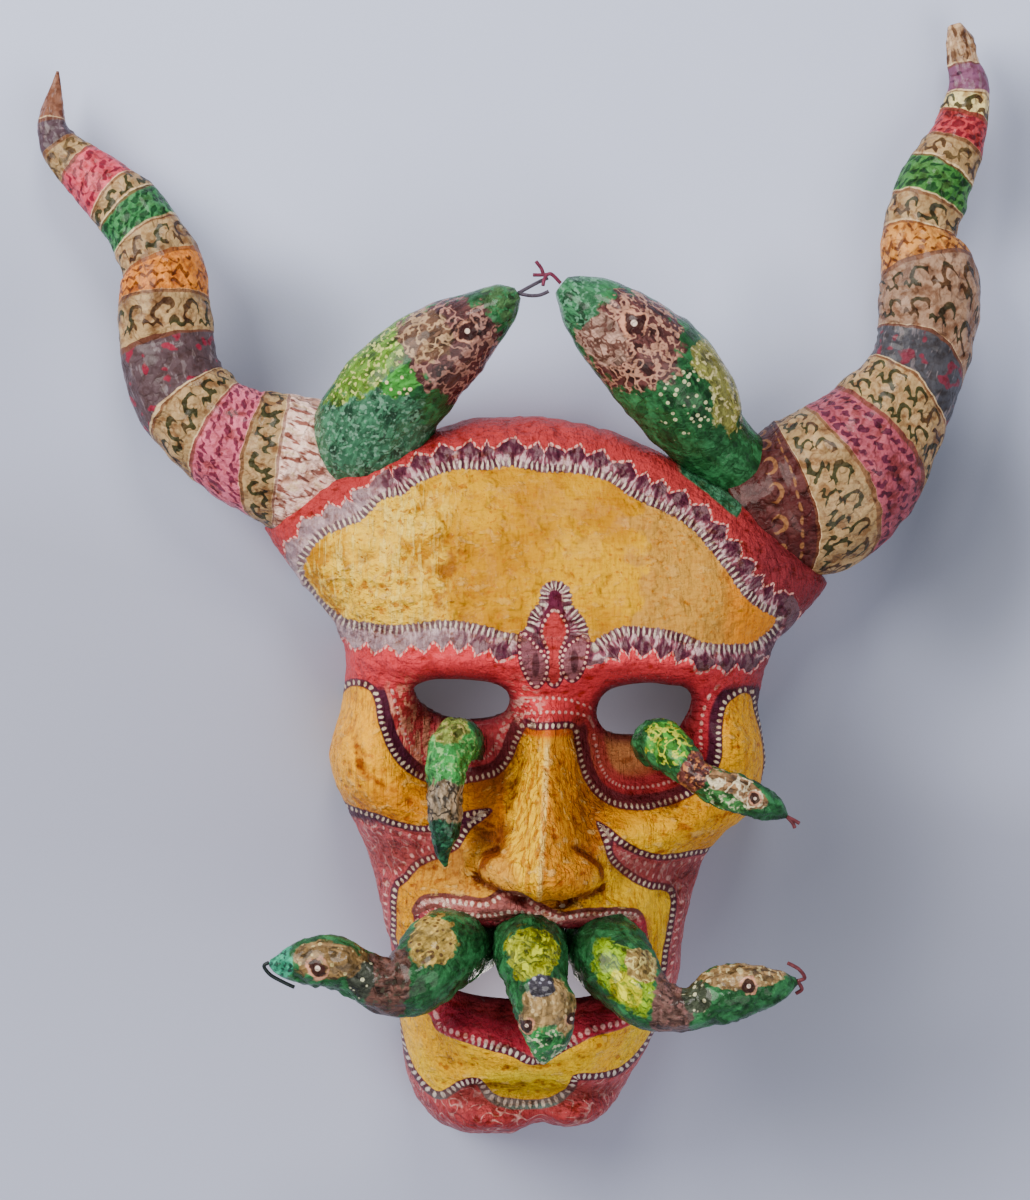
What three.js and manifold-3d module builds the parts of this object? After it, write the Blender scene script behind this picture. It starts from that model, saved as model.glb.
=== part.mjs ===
// A devil mask of painted papier-mâché, lying face up on its rim: a hollow moulded face with eye holes and
// an open mouth, a bent horn behind each upper corner, two fat snakes that meet nose to nose over the
// forehead, a snake out of each eye, three snakes out of the mouth, and forked wire tongues. Millimetres;
// +X is the viewer's right, +Y the top of the head, +Z out of the face. The origin is under the middle of
// the whole mask, on the surface that it lies on.
import * as THREE from "three";
import { mergeVertices } from "three/addons/utils/BufferGeometryUtils.js";
import Module from "manifold-3d";

const wasm = await Module();
wasm.setup();

const WALL = 4; // thickness of the moulded paper shell
const GAP = 0.3; // what pasted pieces keep between them

const paint = (color, roughness) => new THREE.MeshStandardMaterial({ color, roughness, metalness: 0 });
const FACE_PAINT = paint(0xd39a22, 0.42);
const HORN_PAINT = paint(0xcfb083, 0.42);
const SNAKE_PAINT = paint(0x2c6e38, 0.36);
const WIRE_PAINT = paint(0x5b2437, 0.5);

// One key of a list of stations, on a smooth curve through them; t runs from 0 to the last index.
function along(stations, key, t) {
  const last = stations.length - 1;
  const i = Math.min(Math.floor(t), last - 1);
  const near = [i - 1, i, i + 1, i + 2].map((n) => stations[Math.min(Math.max(n, 0), last)][key]);
  const [a, b, c, d] = near;
  const s = t - i;
  return b + 0.5 * s * (c - a + s * (2 * a - 5 * b + 4 * c - d + s * (3 * (b - c) + d - a)));
}

// Rows across the face from the top edge of the forehead down to the chin. A row runs from rim to rim: x
// and y are its middle, half its half width, rise how far its middle bows up or down, slope how it leans,
// depth its height over the rim plane, box how square its section is, and steps the mesh rows from it to
// the next one.
const ROWS = [
  { y: 10.5, x: 12.5, half: 105.5, rise: 50.5, slope: -0.097, depth: 0, box: 5, steps: 1 },
  { y: 9.2, x: 12.5, half: 104, rise: 50, slope: -0.097, depth: 36, box: 5, steps: 1 },
  { y: 5, x: 12.8, half: 101, rise: 46, slope: -0.09, depth: 52, box: 4.6, steps: 2 },
  { y: -3, x: 14, half: 95, rise: 33, slope: -0.07, depth: 66, box: 3.8, steps: 2 },
  { y: -13, x: 16.5, half: 86, rise: 12, slope: -0.035, depth: 76, box: 3.2, steps: 2 },
  { y: -23, x: 17, half: 79.5, rise: 1, slope: 0, depth: 79, box: 3, steps: 3 },
  { y: -42, x: 14.2, half: 77.2, rise: 0, slope: 0, depth: 75, box: 3, steps: 4 },
  { y: -65, x: 13, half: 80.6, rise: 0, slope: 0, depth: 72, box: 2.9, steps: 3 },
  { y: -83, x: 13.2, half: 74.4, rise: 0, slope: 0, depth: 72, box: 2.7, steps: 3 },
  { y: -98, x: 9.3, half: 64, rise: 0, slope: 0, depth: 73, box: 2.6, steps: 5 },
  { y: -121, x: 8.5, half: 56.5, rise: 0, slope: 0, depth: 77, box: 2.6, steps: 5 },
  { y: -146, x: 9.2, half: 52, rise: 0, slope: 0, depth: 77, box: 2.6, steps: 4 },
  { y: -165, x: 5.6, half: 47.4, rise: 0, slope: 0, depth: 75, box: 2.6, steps: 3 },
  { y: -181, x: 3, half: 41.8, rise: -1, slope: 0.02, depth: 69, box: 2.7, steps: 2 },
  { y: -190, x: 3, half: 36, rise: -5, slope: 0.05, depth: 52, box: 2.9, steps: 1 },
  { y: -196.5, x: 3, half: 32, rise: -7.5, slope: 0.07, depth: 0, box: 3, steps: 0 },
];
const COLUMNS = 28;

// Hills and hollows: centre, half widths, height, and edge, where 2 is round and 4 has a flat top.
const HILLS = [
  { x: -29, y: -28, rx: 46, ry: 6.5, height: 8, edge: 2 }, // left brow
  { x: 57, y: -29, rx: 46, ry: 6.5, height: 8, edge: 2 }, // right brow
  { x: -20, y: -56, rx: 25, ry: 22, height: -19, edge: 4 }, // left eye socket
  { x: 46, y: -58, rx: 26, ry: 24, height: -19, edge: 4 }, // right eye socket
  { x: -50, y: -64, rx: 17, ry: 21, height: 12, edge: 3 }, // left cheekbone
  { x: -24, y: -82, rx: 23, ry: 7, height: 7, edge: 2 }, // left cheek under the eye
  { x: 75, y: -68, rx: 17, ry: 23, height: 12, edge: 3 }, // right cheekbone
  { x: 48, y: -88, rx: 25, ry: 9, height: 9, edge: 3 }, // right cheek under the eye
  { x: -41, y: -99, rx: 17, ry: 10, height: -7, edge: 2 }, // hollow of the left cheek
  { x: 63, y: -108, rx: 15, ry: 10, height: -8, edge: 2 }, // hollow of the right cheek
  { x: -5, y: -98, rx: 9, ry: 8, height: 9, edge: 2 }, // left wing of the nose
  { x: 27, y: -99, rx: 9, ry: 8, height: 9, edge: 2 }, // right wing of the nose
  { x: 12, y: -88, rx: 22, ry: 22, height: 10, edge: 2 }, // flanks of the nose
  { x: 9, y: -124, rx: 46, ry: 25, height: 8, edge: 5 }, // muzzle
  { x: 7, y: -138, rx: 36, ry: 17, height: -15, edge: 4 }, // between the open lips
  { x: 6, y: -181, rx: 34, ry: 4, height: -5, edge: 2 }, // fold under the lower lip
  { x: -9, y: -192, rx: 15, ry: 8, height: 11, edge: 3 }, // left lobe of the chin
  { x: 23, y: -190, rx: 13, ry: 7, height: 10, edge: 3 }, // right lobe of the chin
];

// The nose from between the eyes down to the lip: x of its ridge, height and half width at each y.
const NOSE = [
  { y: -40, x: 13, height: 0, half: 7 },
  { y: -48, x: 12.8, height: 9, half: 7 },
  { y: -60, x: 12.3, height: 13, half: 7.5 },
  { y: -72, x: 11.8, height: 18, half: 8.5 },
  { y: -84, x: 11.3, height: 24, half: 10 },
  { y: -95, x: 10.8, height: 31, half: 12 },
  { y: -102, x: 10.5, height: 32, half: 13 },
  { y: -107, x: 10.5, height: 20, half: 13 },
  { y: -111, x: 10.5, height: 0, half: 12 },
];

// A lip is a ridge along a parabola that curls up at the corners of the mouth; the upper one also dips.
const UPPER_LIP = { x: 6, y: -111.5, curl: -0.002, dip: 5, width: 3.5, height: 5, reach: 38 };
const LOWER_LIP = { x: 8, y: -165, curl: 0.0105, dip: 0, width: 9, height: 11, reach: 38 };

const CHIN_NOTCH = { x: 11, width: 6, height: 2.6 }; // between the two lobes at the lower edge

const clamp01 = (t) => Math.min(Math.max(t, 0), 1);
const smooth = (t) => clamp01(t) ** 2 * (3 - 2 * clamp01(t));
const bell = (t, edge = 2) => Math.exp(-(Math.abs(t) ** edge));

function noseHeight(x, y) {
  const last = NOSE.length - 1;
  if (y >= NOSE[0].y || y <= NOSE[last].y) return 0;
  const i = NOSE.findIndex((s) => s.y < y) - 1;
  const t = i + (NOSE[i].y - y) / (NOSE[i].y - NOSE[i + 1].y);
  const from = (x - along(NOSE, "x", t)) / along(NOSE, "half", t);
  return Math.max(along(NOSE, "height", t), 0) * bell(from);
}

function lipHeight(lip, x, y) {
  const line = lip.y + lip.curl * (x - lip.x) ** 2 - lip.dip * bell((x - NOSE[0].x) / 8);
  return lip.height * bell((x - lip.x) / lip.reach, 6) * bell((y - line) / lip.width);
}

function relief(x, y) {
  const away = (hill) => Math.hypot((x - hill.x) / hill.rx, (y - hill.y) / hill.ry);
  const hills = HILLS.reduce((sum, hill) => sum + hill.height * bell(away(hill), hill.edge), 0);
  return hills + noseHeight(x, y) + lipHeight(LOWER_LIP, x, y) + lipHeight(UPPER_LIP, x, y);
}

// The outside of the face: u runs from -1 at the left rim to 1 at the right, v down the rows. The columns
// stand closer at the nose and at the steep sides.
function facePoint(u, v) {
  const across = Math.sin((Math.PI * u) / 2) - 0.1 * Math.sin(2 * Math.PI * u) * (1 - u * u);
  const row = (key) => along(ROWS, key, v);
  const x = row("x") + row("half") * across;
  const chin = smooth(v - ROWS.length + 3);
  const notch = chin * CHIN_NOTCH.height * bell((x - CHIN_NOTCH.x) / CHIN_NOTCH.width);
  const arch = row("rise") > 0 ? 2 : 4; // the chin is squarer than the brow
  const bow = row("rise") * (1 - Math.abs(across) ** arch);
  const y = row("y") + row("slope") * row("half") * across + bow + notch;
  const depth = Math.max(row("depth"), 0);
  const dome = Math.max(1 - Math.abs(across) ** row("box"), 0) ** (1 / row("box"));
  const inland = smooth(dome / 0.6) * smooth(depth / 50);
  return new THREE.Vector3(x, y, depth * dome + relief(x, y) * inland);
}

// The wall between the outside pushed out by grow and the inside pushed in by as much, or, when filled,
// everything under the outside down to a floor below the mask. A point is pushed square to the surface
// around it. A rim point is pushed level, away from the face a few cells in, and as far as keeps the rim's
// thickness, so that nothing folds.
const FLOOR = -40;
const CELLS_IN = 5;
const LEAST_SQUARE = 0.6; // the slant past which a rim point is pushed no farther
function faceGeometry(grow, filled = false) {
  const downTheRows = ROWS.flatMap(({ steps }, i) => Array.from({ length: steps }, (_, s) => i + s / steps));
  downTheRows.push(ROWS.length - 1);
  const rows = downTheRows.length - 1;
  const wide = COLUMNS + 1;
  const outside = [];
  for (const v of downTheRows) {
    for (let i = 0; i <= COLUMNS; i++) outside.push(facePoint((2 * i) / COLUMNS - 1, v));
  }
  const faces = [];
  for (let j = 0; j < rows; j++) {
    for (let i = 0; i < COLUMNS; i++) {
      const a = j * wide + i;
      faces.push([a, a + wide, a + 1], [a + 1, a + wide, a + wide + 1]);
    }
  }
  const rim = [];
  for (let i = 0; i < COLUMNS; i++) rim.push(i);
  for (let j = 0; j < rows; j++) rim.push(j * wide + COLUMNS);
  for (let i = COLUMNS; i > 0; i--) rim.push(rows * wide + i);
  for (let j = rows; j > 0; j--) rim.push(j * wide);
  const next = (k) => rim[(k + 1) % rim.length];

  const skin = new THREE.BufferGeometry().setFromPoints(outside).setIndex(faces.flat());
  skin.computeVertexNormals();
  const normals = skin.getAttribute("normal");
  const ways = outside.map((_, n) => new THREE.Vector3().fromBufferAttribute(normals, n));
  const inwards = (k, last) => Math.min(Math.max(k, CELLS_IN), last - CELLS_IN);
  rim.forEach((n, k) => {
    const core = outside[inwards(Math.floor(n / wide), rows) * wide + inwards(n % wide, COLUMNS)];
    const [before, after] = [outside[rim.at(k - 1)], outside[next(k)]];
    const square = new THREE.Vector3(before.y - after.y, after.x - before.x, 0).normalize();
    const way = outside[n].clone().sub(core).setZ(0).normalize();
    ways[n] = way.divideScalar(Math.max(way.dot(square), LEAST_SQUARE));
  });
  for (let pass = 0; pass < 2; pass++) {
    const before = ways.map((way) => way.clone());
    for (let n = wide; n < rows * wide; n++) {
      if (n % wide === 0 || n % wide === COLUMNS) continue;
      for (const way of [n, n - 1, n + 1, n - wide, n + wide].map((m) => before[m])) ways[n].add(way);
      ways[n].normalize();
    }
  }
  const pushed = (distance) => {
    const points = outside.map((point, n) => point.clone().addScaledVector(ways[n], distance));
    for (const n of rim) points[n].setZ(-grow);
    return points;
  };
  const top = pushed(grow);
  const bottom = filled ? top.map((p) => p.clone().setZ(FLOOR)) : pushed(-WALL - grow);
  const under = top.length;
  const indices = [
    ...faces.flat(),
    ...faces.flatMap(([a, b, c]) => [a + under, c + under, b + under]),
    ...rim.flatMap((a, k) => [a, next(k), next(k) + under, a, next(k) + under, a + under]),
  ];
  return new THREE.BufferGeometry().setFromPoints([...top, ...bottom]).setIndex(indices);
}

// A closed mesh as a solid that can be cut and joined, and back again.
function solid(geometry) {
  const bare = new THREE.BufferGeometry().setAttribute("position", geometry.getAttribute("position").clone());
  if (geometry.index) bare.setIndex(geometry.index);
  const merged = mergeVertices(bare, 1e-4);
  const vertProperties = new Float32Array(merged.getAttribute("position").array);
  const triVerts = new Uint32Array(merged.index.array);
  return new wasm.Manifold(new wasm.Mesh({ numProp: 3, vertProperties, triVerts }));
}

function geometryOf(manifold) {
  const mesh = manifold.getMesh();
  return new THREE.BufferGeometry()
    .setAttribute("position", new THREE.BufferAttribute(new Float32Array(mesh.vertProperties), 3))
    .setIndex(new THREE.BufferAttribute(new Uint32Array(mesh.triVerts), 1));
}

// The largest piece that a cut leaves: the part of a horn or snake that stands clear.
const largest = (manifold) => manifold.decompose().sort((a, b) => b.volume() - a.volume())[0];

// A tapering body along a smooth line. A station holds x, y, z and the half width; flat is the thickness
// over the width, and grow makes it fatter all round, for cutting its neighbours. The rings keep level
// with the far end.
function limb(stations, { sides, steps, flat = 1, grow = 0 }) {
  const end = stations.length - 1;
  const at = (t) => new THREE.Vector3(...[0, 1, 2].map((key) => along(stations, key, t)));
  const rings = [];
  let side = null;
  for (let k = steps; k >= 0; k--) {
    const t = (k / steps) * end;
    const tangent = at(Math.min(t + 0.05, end)).sub(at(Math.max(t - 0.05, 0))).normalize();
    side = side ?? new THREE.Vector3().crossVectors(tangent, new THREE.Vector3(0, 0, 1));
    side.addScaledVector(tangent, -side.dot(tangent)).normalize();
    const up = new THREE.Vector3().crossVectors(side, tangent);
    const half = Math.max(along(stations, 3, t), 0.4);
    const ring = Array.from({ length: sides }, (_, i) => {
      const turn = (2 * Math.PI * i) / sides;
      return at(t)
        .addScaledVector(side, (half + grow) * Math.cos(turn))
        .addScaledVector(up, (half * flat + grow) * Math.sin(turn));
    });
    rings.unshift(ring);
  }
  const faces = [];
  for (let k = 0; k < steps; k++) {
    for (let i = 0; i < sides; i++) {
      const [a, b] = [k * sides + i, k * sides + ((i + 1) % sides)];
      faces.push(a, a + sides, b, b, a + sides, b + sides);
    }
  }
  const far = steps * sides;
  for (let i = 1; i < sides - 1; i++) faces.push(0, i, i + 1, far, far + i + 1, far + i);
  return solid(new THREE.BufferGeometry().setFromPoints(rings.flat()).setIndex(faces));
}

// Horns, from the root inside the corner of the forehead out to the ragged tip.
const LEFT_HORN = [
  [-62, 35, 24, 21],
  [-79, 43, 25, 25.5],
  [-102, 52, 28, 20.5],
  [-120, 67.5, 29, 18],
  [-126.2, 86, 28, 17.5],
  [-127.3, 100.2, 28, 17.1],
  [-128, 114.3, 27, 15],
  [-133.9, 127.1, 25.5, 13.8],
  [-141.2, 136.9, 24, 12.7],
  [-150, 145.5, 22, 11.3],
  [-158.5, 152.8, 20.5, 9],
  [-165.3, 159.5, 19, 7.2],
  [-169.5, 167.2, 18, 6],
  [-169.5, 175, 17, 4.2],
  [-168.7, 182, 16, 2.2],
  [-168, 189, 16, 0.5],
];
const RIGHT_HORN = [
  [84, 22, 24, 24],
  [107, 31, 26, 29.8],
  [119.2, 39.3, 28, 28.8],
  [129.4, 49.6, 29, 25.8],
  [138, 61.5, 29, 21.3],
  [145.8, 74, 29, 17.8],
  [150.2, 86, 28.5, 17.5],
  [152.3, 100.2, 28, 18.4],
  [151.8, 111.8, 27.5, 17.6],
  [149, 124.2, 26, 14.4],
  [150.2, 132.6, 25, 13.4],
  [153.8, 143.4, 24, 13.9],
  [160.4, 156.3, 22, 11.9],
  [165, 167.2, 20.5, 9.6],
  [168, 179.5, 19, 8],
  [167, 190.5, 18, 6.3],
  [165, 199.8, 17, 4.9],
  [163.6, 205.9, 16, 2.6],
];

// Snakes, from the root that is pasted down out to the nose.
const LEFT_CROWN_SNAKE = [
  [-57, 43, 24, 17.5],
  [-52, 53.5, 34, 21.4],
  [-43.5, 66.5, 43, 19.7],
  [-32, 78, 50, 18],
  [-20.5, 86.5, 54, 15.2],
  [-10.5, 93, 57, 10.6],
  [-3, 99, 58, 6.8],
  [1.8, 102.4, 58, 2],
];
const RIGHT_CROWN_SNAKE = [
  [87, 38, 26, 12.5],
  [80.5, 44, 32, 13.6],
  [71, 52.5, 38, 15],
  [64.5, 62, 44, 18.2],
  [56, 73, 50, 19.3],
  [45, 83.5, 55, 17.8],
  [34, 92.5, 58, 14.6],
  [24, 100.3, 60, 9.6],
  [17.6, 105.3, 60, 3.6],
];
const LEFT_EYE_SNAKE = [
  [-17, -57, 58, 7],
  [-19.5, -56.5, 70, 8.4],
  [-22.4, -62, 81, 7.3],
  [-22.8, -71.5, 87, 6.2],
  [-23, -80, 89.5, 5.7],
  [-23.1, -86.5, 89.5, 5],
  [-24, -93, 88, 2.8],
  [-22.9, -98.4, 86.5, 0.7],
];
const RIGHT_EYE_SNAKE = [
  [50, -58, 58, 7.5],
  [52, -56.5, 69, 9],
  [57.3, -60.5, 80, 7.4],
  [63.5, -66.5, 85.5, 5.6],
  [72.5, -71.3, 88.5, 6.6],
  [82.8, -75.1, 88.5, 6],
  [90.5, -78.6, 87, 4.1],
  [94.8, -81.1, 86, 1],
];
const LEFT_MOUTH_SNAKE = [
  [-16, -128, 60, 10],
  [-19.5, -126.5, 76, 12.5],
  [-25, -128.5, 90, 13.8],
  [-33.5, -136, 97, 12],
  [-42.3, -138, 100, 10.2],
  [-51.8, -134, 101, 7.9],
  [-61.3, -129.7, 102, 8.9],
  [-71.2, -130, 101.5, 7.3],
  [-78.4, -130.5, 100.5, 4.4],
  [-82.5, -130.1, 100, 1.3],
];
const MIDDLE_MOUTH_SNAKE = [
  [6.5, -128, 60, 9.5],
  [6.2, -126.5, 78, 12.3],
  [6.6, -129, 94, 12.4],
  [8.5, -136.2, 105, 10.4],
  [11.2, -144.5, 111, 10.2],
  [11.7, -152, 112, 8.4],
  [10.9, -158.5, 110.5, 4.7],
  [10.5, -162.7, 109, 1.2],
];
const RIGHT_MOUTH_SNAKE = [
  [30, -129, 60, 10],
  [32.5, -127.5, 76, 12.5],
  [37, -133, 89, 13.3],
  [44, -141.5, 96, 10.8],
  [52.2, -145.6, 100, 8.4],
  [61.3, -145.3, 101.5, 7.3],
  [71.5, -141, 102, 9.4],
  [81.7, -138.5, 101.5, 8.4],
  [90.7, -137.6, 100.5, 5.4],
  [97, -136.3, 100, 1.3],
];

// Wire tongues: the middle line of each prong, from the snake's nose outwards.
const WIRE_RADIUS = 0.7;
const LEFT_CROWN_TONGUE = [
  [[2.9, 103.1, 58], [7, 105.3, 57.8], [10.2, 107, 57.5], [12.7, 108.1, 57.2]],
  [[2.9, 103.1, 58], [6.3, 101.7, 58.3], [9.9, 101.9, 58.6], [13, 103.2, 58.8]],
];
const RIGHT_CROWN_TONGUE = [
  [[16, 107.3, 60.3], [13.8, 109.1, 60.8], [11.5, 108.6, 61], [10.2, 111.1, 62], [8.4, 113.3, 63]],
  [[12.3, 108.9, 61], [9.5, 108.7, 61.2], [7.4, 108.7, 61.6]],
  [[12, 108.7, 61], [11.2, 106.5, 61.5], [10.9, 104.9, 62]],
];
const RIGHT_EYE_TONGUE = [
  [[96.1, -81.8, 86], [97.6, -82.6, 86], [99.3, -83.6, 85.8]],
  [[96.1, -81.8, 86], [97, -83.5, 85.4], [97.8, -85.2, 84.8]],
];
const LEFT_MOUTH_TONGUE = [
  [[-84.2, -129.8, 100], [-85, -131.3, 99.5], [-82.6, -134.4, 98], [-78.5, -137, 96.5], [-74.6, -139, 95.5]],
];
const RIGHT_MOUTH_TONGUE = [
  [[98.7, -136.6, 100], [99.6, -135, 101.5], [97.4, -131.8, 103.5], [93.6, -129.6, 104.5]],
  [[98.7, -136.6, 100], [98.9, -139.2, 98.8], [97, -140.8, 98]],
];
function tongue(prongs) {
  const wires = prongs.map((points) =>
    limb(points.map((point) => [...point, WIRE_RADIUS]), { sides: 6, steps: points.length }),
  );
  return wires.reduce((sum, wire) => sum.add(wire));
}

// The holes go straight through the shell. Each outline is a squared ellipse.
const HOLES = [
  { x: -17.6, y: -42.4, halfWidth: 16.8, halfHeight: 7.8 }, // left eye
  { x: 46.6, y: -45, halfWidth: 17, halfHeight: 9.8 }, // right eye
  { x: 7, y: -133.5, halfWidth: 36, halfHeight: 13.5 }, // mouth
];
const HOLE_CORNERS = 20;
const HOLE_SQUARENESS = 2.6;
function holesLessBy(margin) {
  return HOLES.map(({ x, y, halfWidth, halfHeight }) => {
    const rim = Array.from({ length: HOLE_CORNERS }, (_, i) => {
      const turn = (2 * Math.PI * i) / HOLE_CORNERS;
      const squared = (w) => Math.sign(w) * Math.abs(w) ** (2 / HOLE_SQUARENESS);
      const [c, s] = [squared(Math.cos(turn)), squared(Math.sin(turn))];
      return new THREE.Vector2(x + (halfWidth - margin) * c, y + (halfHeight - margin) * s);
    });
    const block = new THREE.ExtrudeGeometry(new THREE.Shape(rim), { depth: 160, bevelEnabled: false });
    return solid(block.translate(0, 0, -20));
  });
}
const pierced = (shell, holes) => holes.reduce((rest, hole) => rest.subtract(hole), shell);

const part = new THREE.Group();
function place(name, manifold, material) {
  const mesh = new THREE.Mesh(geometryOf(manifold), material);
  mesh.name = name;
  part.add(mesh);
}

place("face", pierced(solid(faceGeometry(0)), holesLessBy(0)), FACE_PAINT);

// Horns and crown snakes are pasted against the outside of the face, and the crown snakes against the
// horns as well.
const underFace = solid(faceGeometry(GAP, true));
const HORN = { sides: 12, steps: 24, flat: 0.82 };
const CROWN = { sides: 12, steps: 12 };
const HEAD_PAIRS = [
  ["left", LEFT_HORN, LEFT_CROWN_SNAKE, LEFT_CROWN_TONGUE],
  ["right", RIGHT_HORN, RIGHT_CROWN_SNAKE, RIGHT_CROWN_TONGUE],
];
for (const [hand, horn, snake, prongs] of HEAD_PAIRS) {
  place(`${hand}_horn`, largest(limb(horn, HORN).subtract(underFace)), HORN_PAINT);
  const clear = limb(snake, CROWN).subtract(underFace).subtract(limb(horn, { ...HORN, grow: GAP }));
  place(`${hand}_crown_snake`, largest(clear), SNAKE_PAINT);
  place(`${hand}_crown_tongue`, tongue(prongs), WIRE_PAINT);
}

// The eye snakes stand on the sockets under the holes, and the mouth snakes come through the mouth.
const closedWall = solid(faceGeometry(GAP));
const openWall = pierced(closedWall, holesLessBy(GAP));
const EYE = { sides: 8, steps: 12 };
const MOUTH = { sides: 10, steps: 13 };
place("left_eye_snake", largest(limb(LEFT_EYE_SNAKE, EYE).subtract(closedWall)), SNAKE_PAINT);
place("right_eye_snake", largest(limb(RIGHT_EYE_SNAKE, EYE).subtract(closedWall)), SNAKE_PAINT);
place("right_eye_tongue", tongue(RIGHT_EYE_TONGUE), WIRE_PAINT);
place("left_mouth_snake", largest(limb(LEFT_MOUTH_SNAKE, MOUTH).subtract(openWall)), SNAKE_PAINT);
place("middle_mouth_snake", largest(limb(MIDDLE_MOUTH_SNAKE, MOUTH).subtract(openWall)), SNAKE_PAINT);
place("right_mouth_snake", largest(limb(RIGHT_MOUTH_SNAKE, MOUTH).subtract(openWall)), SNAKE_PAINT);
place("left_mouth_tongue", tongue(LEFT_MOUTH_TONGUE), WIRE_PAINT);
place("right_mouth_tongue", tongue(RIGHT_MOUTH_TONGUE), WIRE_PAINT);

export default part;
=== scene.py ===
import bpy
import numpy as np
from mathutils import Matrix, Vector


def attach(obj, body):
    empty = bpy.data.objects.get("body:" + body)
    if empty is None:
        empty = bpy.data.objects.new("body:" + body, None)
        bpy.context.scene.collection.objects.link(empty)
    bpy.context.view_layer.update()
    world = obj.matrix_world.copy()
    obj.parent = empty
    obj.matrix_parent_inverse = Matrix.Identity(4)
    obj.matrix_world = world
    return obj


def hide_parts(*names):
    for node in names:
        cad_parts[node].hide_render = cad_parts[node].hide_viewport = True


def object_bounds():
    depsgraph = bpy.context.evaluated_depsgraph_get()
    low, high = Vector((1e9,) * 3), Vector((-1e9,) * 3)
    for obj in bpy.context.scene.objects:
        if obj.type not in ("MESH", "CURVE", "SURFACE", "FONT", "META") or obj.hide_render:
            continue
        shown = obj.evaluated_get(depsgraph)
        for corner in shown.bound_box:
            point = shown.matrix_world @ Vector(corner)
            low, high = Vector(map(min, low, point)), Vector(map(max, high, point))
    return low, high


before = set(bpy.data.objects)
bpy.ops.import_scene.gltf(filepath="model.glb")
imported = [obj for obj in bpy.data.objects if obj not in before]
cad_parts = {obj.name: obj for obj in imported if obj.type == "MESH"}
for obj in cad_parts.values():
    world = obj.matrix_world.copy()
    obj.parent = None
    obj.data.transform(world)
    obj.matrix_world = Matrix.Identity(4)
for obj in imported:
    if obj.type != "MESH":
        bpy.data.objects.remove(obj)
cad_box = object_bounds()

scene = bpy.context.scene

# The camera looks straight down on the mask, as in the photograph. The light is a wide soft window at the
# upper left with a little from the ceiling and the room, and two small lamps behind the holes of the mask.
CAMERA_HEIGHT = 1.1
camera = bpy.data.objects.new("camera", bpy.data.cameras.new("camera"))
scene.collection.objects.link(camera)
camera.location = (0.001, -0.0064, CAMERA_HEIGHT)
camera.data.sensor_fit = "VERTICAL"
camera.data.sensor_height = 36
camera.data.lens = 88
scene.camera = camera


# A wide light is a disk that faces its target; a small one shines all round.
def add_light(name, kind, place, size, power, colour, target=(0, 0, 0)):
    light = bpy.data.lights.new(name, kind)
    light.energy = power
    light.color = colour
    if kind == "AREA":
        light.shape = "DISK"
        light.size = size
    else:
        light.shadow_soft_size = size
    lamp = bpy.data.objects.new(name, light)
    scene.collection.objects.link(lamp)
    lamp.location = place
    lamp.rotation_euler = (Vector(target) - Vector(place)).to_track_quat("-Z", "Y").to_euler()


LAMP_SIZE = 0.01
WARM = (1.0, 0.9, 0.86)
add_light("window", "AREA", (-1.3, 0.75, 1.25), 1.3, 48, (1.0, 0.965, 0.90), (0, 0, 0.05))
add_light("ceiling", "AREA", (0.1, 1.3, 1.3), 0.6, 14, (1.0, 0.97, 0.92))
add_light("room", "AREA", (0.8, -0.9, 1.85), 1.6, 23, (1.0, 0.97, 0.93))
add_light("light_behind_eyes", "POINT", (0.016, -0.055, 0.04), LAMP_SIZE, 0.028, WARM)
add_light("light_behind_mouth", "POINT", (0.006, -0.168, 0.03), LAMP_SIZE, 0.055, WARM)
world = bpy.data.worlds.new("room")
world.use_nodes = True
sky = world.node_tree.nodes["Background"].inputs
sky["Color"].default_value = (0.90, 0.92, 1.0, 1)
sky["Strength"].default_value = 0.36
scene.world = world


# The surface that the mask lies on: a pale painted board with a soft grain, darker where the mask keeps
# light off it. Its material is the first one, so what builds materials comes here. A Wire is a number
# inside a material, and sums of wires read like ordinary sums. A Paint builds the material.
MM = 1000  # millimetres in a metre


class Wire:
    def __init__(self, paint, socket):
        self.paint = paint
        self.socket = socket

    def sum(self, operation, *others, clamp=False):
        return self.paint.number(operation, self, *others, clamp=clamp)

    def __add__(self, other):
        return self.sum("ADD", other)

    def __sub__(self, other):
        return self.sum("SUBTRACT", other)

    def __rsub__(self, other):
        return self.paint.number("SUBTRACT", other, self)

    def __mul__(self, other):
        return self.sum("MULTIPLY", other)

    def __truediv__(self, other):
        return self.sum("DIVIDE", other)

    def __neg__(self):
        return self * -1

    def __abs__(self):
        return self.sum("ABSOLUTE")

    __radd__ = __add__
    __rmul__ = __mul__

    # Steps between 0 and 1 over a width of blur: up at an edge, down at an edge, and up and down again.
    def above(self, edge, blur=0.15):
        return ((self - edge) / blur).sum("ADD", 0.5, clamp=True)

    def below(self, edge, blur=0.15):
        return 1 - self.above(edge, blur)

    def inside(self, low, high, blur=0.15):
        return self.above(low, blur) * self.below(high, blur)

    # Repeats: how far from the middle of each cell, and a zigzag and a sine wave between -1 and 1.
    def cell(self, period):
        return self.sum("FLOORED_MODULO", period) - period / 2

    def zigzag(self, period):
        return self.sum("PINGPONG", period / 2) * (4 / period) - 1

    def wave(self, period):
        return (self * (2 * np.pi / period)).sum("SINE")


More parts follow.
